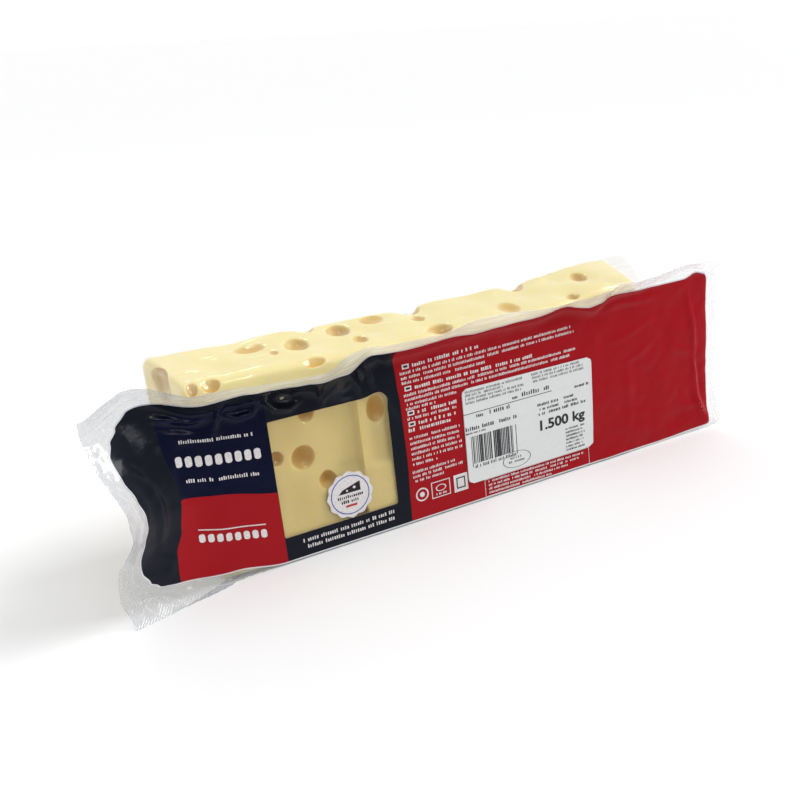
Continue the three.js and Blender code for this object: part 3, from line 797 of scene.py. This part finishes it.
def eye_list():
    """Every eye as centre, half widths and the axis that it goes in along."""
    lean = math.tan(FRONT_LEAN)
    random = source_random(7)
    eyes = [((x, y, float(block_height(x, y))), (rx, ry, d), 2) for x, y, rx, ry, d in TOP_EYES]
    for x, r, d in BACK_EDGE_EYES:
        edge = BLOCK_HEIGHT + float(blend(TOP_RISE, x))
        eyes.append(((x, BLOCK_DEPTH - 1, edge), (r, 1.5 * r, d), 2))
    eyes += [((x, lean * z, z), (rx, 1.6 * d, rz), 1) for x, z, rx, rz, d in FRONT_EYES]
    for y, z, ry, rz, d in LEFT_END_EYES:
        end = -HALF - LEFT_SKEW * y / BLOCK_DEPTH + 0.3
        eyes.append(((end, y, z), (d, ry, rz), 0))
    for i in range(9):
        r = 4 + 5 * next(random)
        x = -118 + 29 * i + 12 * next(random)
        z = 20 + 62 * ((i * 0.38) % 1) + 8 * next(random)
        eyes.append(((x, BLOCK_DEPTH - 0.3, z), (r, 0.6 * r, r), 1))
    for i in range(3):
        r = 5 + 4 * next(random)
        eyes.append(((HALF + 12, 30 + 8 * (i % 2), 22 + 27 * i), (0.9 * r, r, r), 0))
    settled = []
    for centre, half, axis in eyes:
        centre = np.array(centre, float)
        outwards = 1 if axis == 2 or centre[axis] > HALF or (axis == 1 and centre[1] > 20) else -1
        centre[axis] -= outwards * float(hollowed(centre))
        settled.append((centre, np.array(half, float) * EYE_GROWTH, axis))
    return settled


EYES = eye_list()


def outward(points, rings_shape):
    """Unit normals of a closed tube of rings."""
    grid_points = points.reshape(*rings_shape, 3)
    down = np.roll(grid_points, -1, 1) - np.roll(grid_points, 1, 1)
    run = np.gradient(grid_points, axis=0)
    normal = np.cross(run, down)
    return normal / np.maximum(np.linalg.norm(normal, axis=-1, keepdims=True), 1e-9)


def unevenness(p):
    """Low swells of the cut faces, mm."""
    x, y, z = p[..., 0], p[..., 1], p[..., 2]
    return 0.5 * noise(x + z, y + 0.7 * z, 22, 11) + 0.22 * noise(x - z, y + z, 9, 12)


STEP_AT = -48.8                  # left of it the cheese in the window is cut lower


def window_step(p):
    """How far the cheese behind the window falls back: a long slope that ends in an upright step."""
    x, y, z = p[..., 0], p[..., 1], p[..., 2]
    slope = smooth((x + 82) / 30) * smooth((STEP_AT - x) / 1.6) * smooth((z - 33) / 9) * smooth((92 - z) / 8)
    strip = smooth((x - STEP_AT) / 9) * smooth((-22 - x) / 10) * smooth((z - 37) / 4) * smooth((92 - z) / 8)
    return (5.0 * slope + 2.6 * strip) * (y < 14)


def cut_eyes(piece):
    """Cuts every eye out of the block and returns the new mesh."""
    knives = bpy.data.collections.new("knives")
    bpy.context.scene.collection.children.link(knives)
    for centre, half, _ in EYES:
        bpy.ops.mesh.primitive_uv_sphere_add(segments=40, ring_count=24, radius=1)
        ball = bpy.context.object
        place = (np.array(centre) + FRONT_FOOT) * MM
        ball.data.transform(Matrix.Translation(Vector(place)) @ Matrix.Diagonal((*np.array(half) * MM, 1)))
        bpy.context.scene.collection.objects.unlink(ball)
        knives.objects.link(ball)
    cut = piece.modifiers.new("eyes", "BOOLEAN")
    cut.operation = "DIFFERENCE"
    cut.solver = "MANIFOLD"
    cut.operand_type = "COLLECTION"
    cut.collection = knives
    mesh = bpy.data.meshes.new_from_object(piece.evaluated_get(bpy.context.evaluated_depsgraph_get()))
    piece.modifiers.clear()
    for ball in list(knives.objects):
        bpy.data.objects.remove(ball)
    bpy.data.collections.remove(knives)
    return mesh


def finish_eyes(mesh):
    """Marks the eyes' walls for the material's deeper yellow and painted shade, deeper in more strongly, and
    rounds their rims over.
    """
    co = np.zeros(len(mesh.vertices) * 3)
    mesh.vertices.foreach_get("co", co)
    at = co.reshape(-1, 3) / MM - FRONT_FOOT
    wall_shade, rim = np.zeros(len(at)), np.zeros(len(at))
    for centre, half, axis in EYES:
        within = (at - centre) / half
        reach = np.linalg.norm(within, axis=1)
        depth = np.clip(np.abs(within[:, axis]), 0, 1)
        # How much of the wall's deeper yellow and painted shade each point takes, most at the bottom.
        wall_shade = np.maximum(wall_shade, (np.abs(reach - 1) < 0.03) * (0.1 + 0.9 * depth))
        rim = np.maximum(rim, (np.abs(reach - 1) < 1.6 / min(half)) * (depth * half[axis] < 2.2))
    # The deeper yellow and painted shade of an eye's wall stop at its rim, so they are kept by face corner.
    corner_vertex = np.zeros(len(mesh.loops), np.int64)
    mesh.loops.foreach_get("vertex_index", corner_vertex)
    starts = np.zeros(len(mesh.polygons), np.int64)
    mesh.polygons.foreach_get("loop_start", starts)
    sizes = np.zeros(len(mesh.polygons), np.int64)
    mesh.polygons.foreach_get("loop_total", sizes)
    all_wall = np.repeat(np.minimum.reduceat(wall_shade[corner_vertex], starts) > 0, sizes)
    made = mesh.attributes.new("eye_wall_shade", "FLOAT", "CORNER")
    made.data.foreach_set("value", (wall_shade[corner_vertex] * all_wall).astype(np.float32))
    # The rims are rounded by a few rounds of averaging with their neighbours.
    ends = np.zeros(len(mesh.edges) * 2, np.int64)
    mesh.edges.foreach_get("vertices", ends)
    ends = ends.reshape(-1, 2)
    count = np.maximum(np.bincount(ends.ravel(), minlength=len(at)), 1)[:, None]
    for _ in range(6):
        total = np.zeros_like(at)
        np.add.at(total, ends[:, 0], at[ends[:, 1]])
        np.add.at(total, ends[:, 1], at[ends[:, 0]])
        at = at + 0.5 * rim[:, None] * (total / count - at)
    mesh.vertices.foreach_set("co", ((at + FRONT_FOOT) * MM).ravel())
    mesh.polygons.foreach_set("use_smooth", np.ones(len(mesh.polygons), bool))
    mesh.set_sharp_from_angle(angle=math.radians(60))


def cheese_piece():
    step = 1.6
    rings = block_rings(CHEESE_INSET + 0.35, step)
    normal = outward(rings, rings.shape[:2])

    def relief(p):
        return 0.55 * unevenness(p) - hollowed(p)

    lifted = rings + normal * relief(rings)[..., None]
    lifted[..., 1] += window_step(rings) * smooth(-normal[..., 1] * 2 - 0.6)
    points, faces = capped(lifted, step, relief)
    piece = mesh_piece("cheese", points, faces, cheese_material())
    piece.data = cut_eyes(piece)
    finish_eyes(piece.data)
    return piece


def film_wrinkles(p):
    """Outward ridges where the film is gathered, mm."""
    x, y, z = p[..., 0], p[..., 1], p[..., 2]
    ridge = np.maximum(noise(x * 0.5 + z, y * 1.4 + z * 0.3, 7, 21), 0) ** 2
    ends = smooth((np.abs(x) - 110) / 22)
    ends = ends * (1 + 1.2 * (x < 0))
    return 0.35 * ridge * (0.35 + ends) + 0.12 * np.maximum(noise(x, y + z, 4, 22), 0)


def film_piece():
    step = 1.5
    rings = block_rings(0.0, step)
    normal = outward(rings, rings.shape[:2])
    sag = np.zeros(rings.shape[:2])
    for centre, half, _ in EYES:
        gap = np.linalg.norm((rings - centre) / (np.array(half) + 0.01), axis=-1)
        sag = np.maximum(sag, min(half) * 0.5 * np.clip(1 - gap ** 2, 0, 1) ** 1.5)
    move = 0.3 * np.maximum(unevenness(rings), 0) + film_wrinkles(rings) - sag - 0.9 * hollowed(rings)
    move = move * smooth((rings[..., 2] - 2) / 8)
    lifted = rings + normal * move[..., None]
    # The right end's film stands off the block, most at the top of the back.
    stand = smooth((lifted[..., 0] - HALF + 6) / 12) * smooth((lifted[..., 2] - 40) / 55)
    lifted[..., 0] += 14 * stand * smooth(lifted[..., 1] / 62) + 3 * stand
    points, faces = capped(lifted, step, lambda p: 1.2 * film_wrinkles(p) - 0.9 * hollowed(p))
    return mesh_piece("formed_film", points, faces, formed_film_material())


# ---- The weigh label -------------------------------------------------------------------------------------


def label_piece():
    w, h = LABEL_WIDTH, LABEL_HEIGHT
    columns, rows = np.linspace(0, w, 60), np.linspace(0, h, 40)
    u, v = np.meshgrid(columns, rows, indexing="ij")
    # Rounded corners: rows near the foot and the top are drawn in.
    near = np.minimum(v, h - v)
    pull = np.where(near < LABEL_CORNER, LABEL_CORNER - np.sqrt(np.maximum(
        LABEL_CORNER ** 2 - (LABEL_CORNER - near) ** 2, 0)), 0)
    u = pull + u / w * (w - 2 * pull)
    s, t = LABEL_LEFT + u, LABEL_FOOT + v
    front, back = lid_surface(s, t, LABEL_FACE), lid_surface(s, t, SKIN + 0.03)
    n, m = len(rows), len(columns)
    faces = grid(n, m) + grid(n, m, n * m, turned=True)
    rim = [i * n for i in range(m)] + [(m - 1) * n + j for j in range(1, n)]
    rim += [i * n + n - 1 for i in range(m - 2, -1, -1)] + list(range(n - 2, 0, -1))
    faces += [[b, a, a + n * m, b + n * m] for a, b in zip(rim, rim[1:] + rim[:1])]
    return mesh_piece("weigh_label_paper", np.concatenate([front.reshape(-1, 3), back.reshape(-1, 3)]), faces,
                      paper_material(), sharp=50)


# ---- Print -----------------------------------------------------------------------------------------------
# A mark is a list of cells, and each cell is four (s, t) corners on the flat film, anticlockwise.


def bar(line, low, high):
    """A bar between two heights above a line of (s, t) points."""
    line = np.array(line, float)
    s = np.linspace(line[0, 0], line[-1, 0], max(2, math.ceil((line[-1, 0] - line[0, 0]) / BAR_CELL) + 1))
    t = np.interp(s, line[:, 0], line[:, 1])
    runs = zip(s, s[1:], t, t[1:])
    return [((a, p + low), (b, q + low), (b, q + high), (a, p + high)) for a, b, p, q in runs]


def stroke_row_nodes():
    """Geometry Nodes: a row of upright strokes, uneven in width and height, with some left out."""
    tree = bpy.data.node_groups.new("stroke_row", "GeometryNodeTree")
    for name in ("Length", "Width", "Space", "Height", "Uneven width", "Uneven height", "Left out"):
        tree.interface.new_socket(name, in_out="INPUT", socket_type="NodeSocketFloat")
    tree.interface.new_socket("Seed", in_out="INPUT", socket_type="NodeSocketInt")
    tree.interface.new_socket("Ink", in_out="INPUT", socket_type="NodeSocketMaterial")
    tree.interface.new_socket("Strokes", in_out="OUTPUT", socket_type="NodeSocketGeometry")
    given = tree.nodes.new("NodeGroupInput").outputs
    pitch = add(tree, "Math", given["Width"], given["Space"], operation="ADD")
    count = add(tree, "Math", given["Length"], pitch, operation="DIVIDE")
    line = add(tree, "GeometryNodeMeshLine", named={"Count": count, "Offset": add(tree, "CombineXYZ", pitch)})
    gap = add(tree, "FunctionNodeRandomValue", out=3, data_type="BOOLEAN",
              named={"Probability": given["Left out"], "Seed": given["Seed"]})
    line = add(tree, "GeometryNodeDeleteGeometry", line, gap, domain="POINT")
    sizes = []
    for k, (size, uneven) in enumerate((("Width", "Uneven width"), ("Height", "Uneven height"))):
        seed = add(tree, "Math", given["Seed"], 31.0 * (k + 1), operation="ADD")
        chance = add(tree, "FunctionNodeRandomValue", out=1, data_type="FLOAT",
                     named={2: -1.0, 3: 1.0, "Seed": seed})
        factor = add(tree, "Math", chance, given[uneven], 1.0, operation="MULTIPLY_ADD")
        sizes.append(add(tree, "Math", given[size], factor, operation="MULTIPLY"))
    stroke = add(tree, "GeometryNodeMeshCube")
    stroke = add(tree, "GeometryNodeTransform", stroke, named={"Translation": (0.5, 0.5, 0.5)})
    strokes = add(tree, "GeometryNodeInstanceOnPoints", line, named={
        "Instance": stroke, "Scale": add(tree, "CombineXYZ", sizes[0], sizes[1], INK)})
    strokes = add(tree, "GeometryNodeRealizeInstances", strokes)
    strokes = add(tree, "GeometryNodeSetMaterial", strokes, named={"Material": given["Ink"]})
    tree.links.new(strokes, tree.nodes.new("NodeGroupOutput").inputs[0])
    return tree


def stroke_rows(rows, ink, out, slot):
    """Points, faces and slots of rows of strokes that lie on the film. A row is its line and its sizes."""
    tree = stroke_row_nodes()
    keys = {item.name: item.identifier for item in tree.interface.items_tree if item.in_out == "INPUT"}
    holders = []
    for seed, (line, sizes) in enumerate(rows):
        holder = bpy.data.objects.new("stroke_row", bpy.data.meshes.new("stroke_row"))
        bpy.context.scene.collection.objects.link(holder)
        laid = holder.modifiers.new("strokes", "NODES")
        laid.node_group = tree
        for name, value in {"Length": line[-1][0] - line[0][0], "Seed": seed, "Ink": ink, **sizes}.items():
            laid[keys[name]] = value
        holders.append(holder)
    seen = bpy.context.evaluated_depsgraph_get()
    parts = []
    for holder, (line, sizes) in zip(holders, rows):
        mesh = bpy.data.meshes.new_from_object(holder.evaluated_get(seen))
        co = np.zeros(len(mesh.vertices) * 3)
        mesh.vertices.foreach_get("co", co)
        co = co.reshape(-1, 3)
        s = line[0][0] + co[:, 0]
        t = np.interp(s, *np.array(line, float).T) + co[:, 1]
        faces = [list(face.vertices) for face in mesh.polygons]
        parts.append((lid_surface(s, t, out + co[:, 2]), faces, [slot] * len(faces)))
        bpy.data.meshes.remove(mesh)
    for holder in holders:
        bpy.data.objects.remove(holder)
    bpy.data.node_groups.remove(tree)
    return parts


def small_strokes(rows):
    """Rows of small print: a row is its line, its height and its weight in parts of that height."""
    return [(line, {"Width": high * weight, "Space": high * 0.3, "Height": high, "Uneven width": 0.25,
                    "Uneven height": 0.2, "Left out": 0.17}) for line, high, weight in rows]


def disc(s, t, inner, outer, squash=1.0, lobes=0, count=48):
    """A flat ring, or with no inner radius a disc, whose rim may be scalloped."""
    cells = []
    radii = np.linspace(inner, outer, max(2, math.ceil((outer - inner) / 2.5) + 1))
    corners = []
    for k in range(count):
        a = 2 * math.pi * k / count
        rim = 1 + (0.045 * math.cos(lobes * a) if lobes else 0)
        corners.append([(s + r * rim * math.cos(a), t + r * rim * squash * math.sin(a)) for r in radii])
    for here, after in zip(corners, corners[1:] + corners[:1]):
        for i in range(len(radii) - 1):
            cells.append((here[i], here[i + 1], after[i + 1], after[i]))
    return cells


def frame_of(left, right, foot, top, width):
    """The outline of a box."""
    return (bar([(left, foot), (right, foot)], 0, width) + bar([(left, top), (right, top)], -width, 0)
            + bar([(left, foot), (left + width, foot)], width, top - foot - width)
            + bar([(right - width, foot), (right, foot)], width, top - foot - width))


def pill_row(line, count, tall, width, gap):
    """Even upright strokes with rounded ends, side by side."""
    line = np.array(line, float)
    cells = []
    edges = [(0.0, 0.35), (0.12 * width, 0.1), (0.35 * width, 0.0)]
    profile = edges + [(tall / 2, 0.0)] + [(tall - e, inward) for e, inward in edges[::-1]]
    for k in range(count):
        s = line[0, 0] + k * (width + gap)
        t = float(np.interp(s, line[:, 0], line[:, 1]))
        for (a, p), (b, q) in zip(profile, profile[1:]):
            low = np.linspace(p, 1 - p, 5) * width + s
            high = np.linspace(q, 1 - q, 5) * width + s
            for i in range(4):
                cells.append(((low[i], t + a), (low[i + 1], t + a), (high[i + 1], t + b), (high[i], t + b)))
    return cells


def ink_boxes(layers, out):
    """Points, faces and slots of marks: each cell is a thin box that lies on the film."""
    points, faces, slots = [], [], []
    count = 0
    for cells, lift, slot in layers:
        corners = np.array(cells, float)
        low = lid_surface(corners[..., 0], corners[..., 1], out + lift)
        high = lid_surface(corners[..., 0], corners[..., 1], out + lift + INK)
        points.append(np.concatenate([low, high], 1).reshape(-1, 3))
        for k in range(len(cells)):
            b = count + 8 * k
            faces += [[b + 4, b + 5, b + 6, b + 7], [b + 3, b + 2, b + 1, b]]
            faces += [[b + i, b + (i + 1) % 4, b + 4 + (i + 1) % 4, b + 4 + i] for i in range(4)]
        slots += [slot] * (6 * len(cells))
        count += 8 * len(cells)
    return np.concatenate(points), faces, slots


def figures(text, place, height, width, out, bold=0.0):
    """Plain numbers from Blender's own font, stretched to a height and a width, as points and faces."""
    curve = bpy.data.curves.new("figures", "FONT")
    curve.body, curve.extrude, curve.resolution_u, curve.offset = text, 0.5, 3, bold
    drawn = bpy.data.objects.new("figures", curve)
    bpy.context.scene.collection.objects.link(drawn)
    mesh = bpy.data.meshes.new_from_object(drawn.evaluated_get(bpy.context.evaluated_depsgraph_get()))
    welded = bmesh.new()
    welded.from_mesh(mesh)
    bmesh.ops.remove_doubles(welded, verts=welded.verts, dist=0.0001)
    welded.to_mesh(mesh)
    welded.free()
    co = np.zeros(len(mesh.vertices) * 3)
    mesh.vertices.foreach_get("co", co)
    co = co.reshape(-1, 3)
    faces = [list(f.vertices) for f in mesh.polygons]
    bpy.data.objects.remove(drawn)
    bpy.data.curves.remove(curve)
    bpy.data.meshes.remove(mesh)
    span = co.max(0) - co.min(0)
    s = place[0] + (co[:, 0] - co[:, 0].min()) / span[0] * width
    t = place[1] + (co[:, 1] - co[:, 1].min()) / span[1] * height
    return lid_surface(s, t, out + INK / 2) + lid_normal(s, t) * (INK * co[:, 2:3]), faces


def merged(name, parts, materials):
    """One piece from (points, faces, slots) parts."""
    all_faces, all_slots, base = [], [], 0
    for points, faces, slots in parts:
        all_faces += [[base + v for v in face] for face in faces]
        all_slots += slots
        base += len(points)
    piece = mesh_piece(name, np.concatenate([part[0] for part in parts]), all_faces, materials[0], sharp=30)
    for material in materials[1:]:
        piece.data.materials.append(material)
    piece.data.polygons.foreach_set("material_index", np.array(all_slots, np.int32))
    return piece


def lid_marks(pale, black, red, blue):
    """The lid's larger marks in layers of cells, each with its lift over the film and its ink."""
    white, dark = [], []
    for s, t in TAG_BOXES:
        white += bar([(s, t), (s + 4, t)], 0, 2.6)
        dark += bar([(s + 0.8, t), (s + 3.2, t)], 0.7, 1.9)
    white += pill_row(NAVY_ROW, 9, 5.6, 3.3, 1.4)
    white += pill_row(RED_ROW, 8, 4.6, 3.0, 1.3)
    white += bar(RED_RULE, 0, 0.6)
    white += disc(*ROUND_SIGN, 3.1, 3.9) + disc(*ROUND_SIGN, 0, 1.5)
    white += frame_of(*OVAL_SIGN, 0.5) + disc(OVAL_SIGN[0] + 5.9, 15.4, 2.6, 3.3, squash=0.6)
    left, right, foot, top = SQUARE_SIGN
    white += bar([(left, foot), (right, foot)], 0, top - foot)
    white += frame_of(*NOTE_FRAME, 0.3)
    dark += frame_of(left + 1.6, right - 1.6, foot + 1.8, top - 1.8, 0.7)
    s, t, r = SEAL
    dark += [((s - 6.5, t + 1.2), (s + 6, t + 1.2), (s + 6, t + 6.4), (s - 4, t + 3.4))]
    holes = disc(s + 2.6, t + 3.6, 0, 0.8, count=12) + disc(s - 1.6, t + 2.6, 0, 0.55, count=12)
    return [
        (white, INK_LIFT, pale),
        (disc(s, t, 0, r, lobes=12), INK_LIFT, pale),
        (dark, OVERPRINT_LIFT, black),
        (holes, HOLE_LIFT, pale),
        (disc(s, t, r * 0.82, r * 0.86), OVERPRINT_LIFT, blue),
        (bar([(s - 3.2, t - 6.6), (s + 3.2, t - 6.6)], 0, 1.2), OVERPRINT_LIFT, red),
    ]


def lid_ink_piece():
    """The lid's print over its fields of colour: rows of strokes, small signs and the seal in the window."""
    pale, black, red, blue = 0, 1, 2, 3
    materials = [
        ink_material("white_film_ink", "E3E0E0", "CFC9CA"),
        ink_material("black_film_ink", "16161B", "24242B"),
        ink_material("red_film_ink", "B01820", "C23038"),
        ink_material("blue_film_ink", "1E3E96", "3555A8"),
    ]
    s, t, _ = SEAL
    sign_row = ([(-10.5, 11.4), (-2, 11.4)], 1.1, 0.45)
    seal_rows = [
        ([(s - 7.2, t - 1.6), (s + 7.4, t - 1.6)], 1.4, 0.5),
        ([(s - 5.4, t - 4.2), (s + 5.6, t - 4.2)], 1.4, 0.5),
    ]
    parts = [ink_boxes(lid_marks(pale, black, red, blue), SKIN)]
    parts += stroke_rows(small_strokes([*PALE_ROWS, sign_row]), materials[pale], SKIN + INK_LIFT, pale)
    parts += stroke_rows(small_strokes(seal_rows), materials[black], SKIN + OVERPRINT_LIFT, black)
    return merged("lid_ink", parts, materials)


def label_ink_piece():
    """What the scale's printer puts on a label: a rule, rows of strokes, bars and a plain weight."""
    grey, black = 0, 1
    materials = [
        ink_material("grey_thermal_print", "55585C", "7C7F82"),
        ink_material("black_thermal_print", "1B1B1E", "38383C"),
    ]
    s, t, r = LABEL_RING
    dark = bar(LABEL_RULE, 0, 0.35) + disc(s, t, r - 0.4, r, squash=0.52, count=64)
    for s in LONG_BARS:
        dark.append(((s, LONG_BAR_FOOT), (s + 0.4, LONG_BAR_FOOT), (s + 0.4, BAR_TOP), (s, BAR_TOP)))
    bars = ([(BARS_FROM, BAR_FOOT), (BARS_TO, BAR_FOOT)], {
        "Width": 0.62, "Space": 0.42, "Height": BAR_TOP - BAR_FOOT, "Uneven width": 0.55, "Left out": 0.06,
    })
    out = LABEL_FACE + LABEL_INK_LIFT
    parts = [ink_boxes([(dark, 0.0, black)], out)]
    parts += stroke_rows(small_strokes(GREY_ROWS), materials[grey], out, grey)
    parts += stroke_rows([*small_strokes(DARK_ROWS), bars], materials[black], out, black)
    points, faces = figures("1.500 kg", WEIGHT_AT, WEIGHT_HEIGHT, WEIGHT_WIDTH, out, 0.03)
    parts.append((points, faces, [black] * len(faces)))
    return merged("label_ink", parts, materials)


# ---- Build -----------------------------------------------------------------------------------------------

cheese = cheese_piece()
film = film_piece()
lid = lid_piece()
label = label_piece()
lid_ink = lid_ink_piece()
label_ink = label_ink_piece()

for piece in (cheese, film, lid, label, lid_ink, label_ink):
    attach(piece, "root")
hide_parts("sealed_block")
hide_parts("sealed_block")
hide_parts("lid_film")
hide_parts("weigh_label")

# ---- Floor, light and camera -----------------------------------------------------------------------------

bpy.ops.mesh.primitive_grid_add(x_subdivisions=2, y_subdivisions=2, size=60)
floor = bpy.context.object
floor.name = "studio_floor"
floor.data.materials.append(floor_material())
floor.visible_glossy = False      # below the horizon gloss shows the room instead, as it is given here

# A white room that is dim low down in front, so that the dark print stays dark.
world = bpy.data.worlds.new("studio")
world.use_nodes = True
sky = world.node_tree
sky.nodes.clear()
looking = add(sky, "SeparateXYZ", add(sky, "TexCoord"))
_, y_part, z_part = looking.node.outputs
above = add(sky, "MapRange", z_part, 0.25, 0.75, 0.22, 1.0, interpolation_type="SMOOTHSTEP")
below = add(sky, "MapRange", z_part, -0.1, -0.55, 0.0, 0.65, interpolation_type="SMOOTHSTEP")
front = add(sky, "Math", above, below, operation="ADD")
behind = add(sky, "MapRange", y_part, -0.36, 0.2, interpolation_type="SMOOTHSTEP")
back_part = add(sky, "MapRange", z_part, 0.05, 0.4, 1.15, 0.85, interpolation_type="SMOOTHSTEP")
bright = add(sky, "MixRGB", behind, front, back_part)
seen = add(sky, "LightPath")      # the room's wall itself is plain white
bright = add(sky, "MixRGB", seen, bright, (1.1, 1.1, 1.1, 1.0))
add(sky, "OutputWorld", add(sky, "Background", bright, 0.95))
bpy.context.scene.world = world

# A wide soft light from the right and a little in front lays the shadow at the pack's left end.
key = bpy.data.objects.new("key", bpy.data.lights.new("key", "SUN"))
key.data.energy, key.data.angle = 1.84, math.radians(26)
key.rotation_euler = Vector((1.0, -0.2, 0.85)).to_track_quat("Z", "Y").to_euler()
bpy.context.scene.collection.objects.link(key)


def soft_box(name, towards_it, size, power):
    """A small far lamp, which the film's folds mirror as glints."""
    light = bpy.data.lights.new(name, "AREA")
    light.shape, light.size, light.energy = "DISK", size, power
    lamp = bpy.data.objects.new(name, light)
    lamp.location = Vector(towards_it).normalized() * 1.4
    lamp.rotation_euler = Vector(towards_it).to_track_quat("Z", "Y").to_euler()
    bpy.context.scene.collection.objects.link(lamp)
    return lamp


soft_box("front_box", (0.41, -0.85, 0.36), 0.18, 0.8)
soft_box("high_front_box", (0.15, -0.72, 0.68), 0.18, 1.6)
soft_box("back_box", (0.15, 0.75, 0.8), 0.22, 0.8)
left_fill = soft_box("left_fill", (-1.0, 0.1, 0.2), 0.6, 1.7)
left_fill.visible_glossy = False      # it only lifts the left end

# The photo's camera, fitted to the block's straight edges. Angles are radians.
AZIMUTH, ELEVATION, ROLL = -0.465, 0.421, -0.05
TARGET = (np.array([-29.45, 0.0, 74.37]) + FRONT_FOOT) * MM
DISTANCE = 426.1 * MM
FOCAL, IMAGE_WIDTH = 843.06, 800      # pixels

level = math.cos(ELEVATION)
towards = Vector((math.sin(AZIMUTH) * level, -math.cos(AZIMUTH) * level, math.sin(ELEVATION)))
ahead = -towards
right = ahead.cross(Vector((0, 0, 1))).normalized()
up = right.cross(ahead)
right, up = math.cos(ROLL) * right + math.sin(ROLL) * up, math.cos(ROLL) * up - math.sin(ROLL) * right
turned = Matrix((right, up, towards)).transposed().to_4x4()
camera = bpy.data.objects.new("camera", bpy.data.cameras.new("camera"))
camera.data.sensor_width = 36
camera.data.lens = FOCAL * camera.data.sensor_width / IMAGE_WIDTH
camera.matrix_world = Matrix.Translation(Vector(TARGET) + towards * DISTANCE) @ turned
bpy.context.scene.collection.objects.link(camera)
bpy.context.scene.camera = camera
bpy.context.scene.view_settings.view_transform = "Standard"
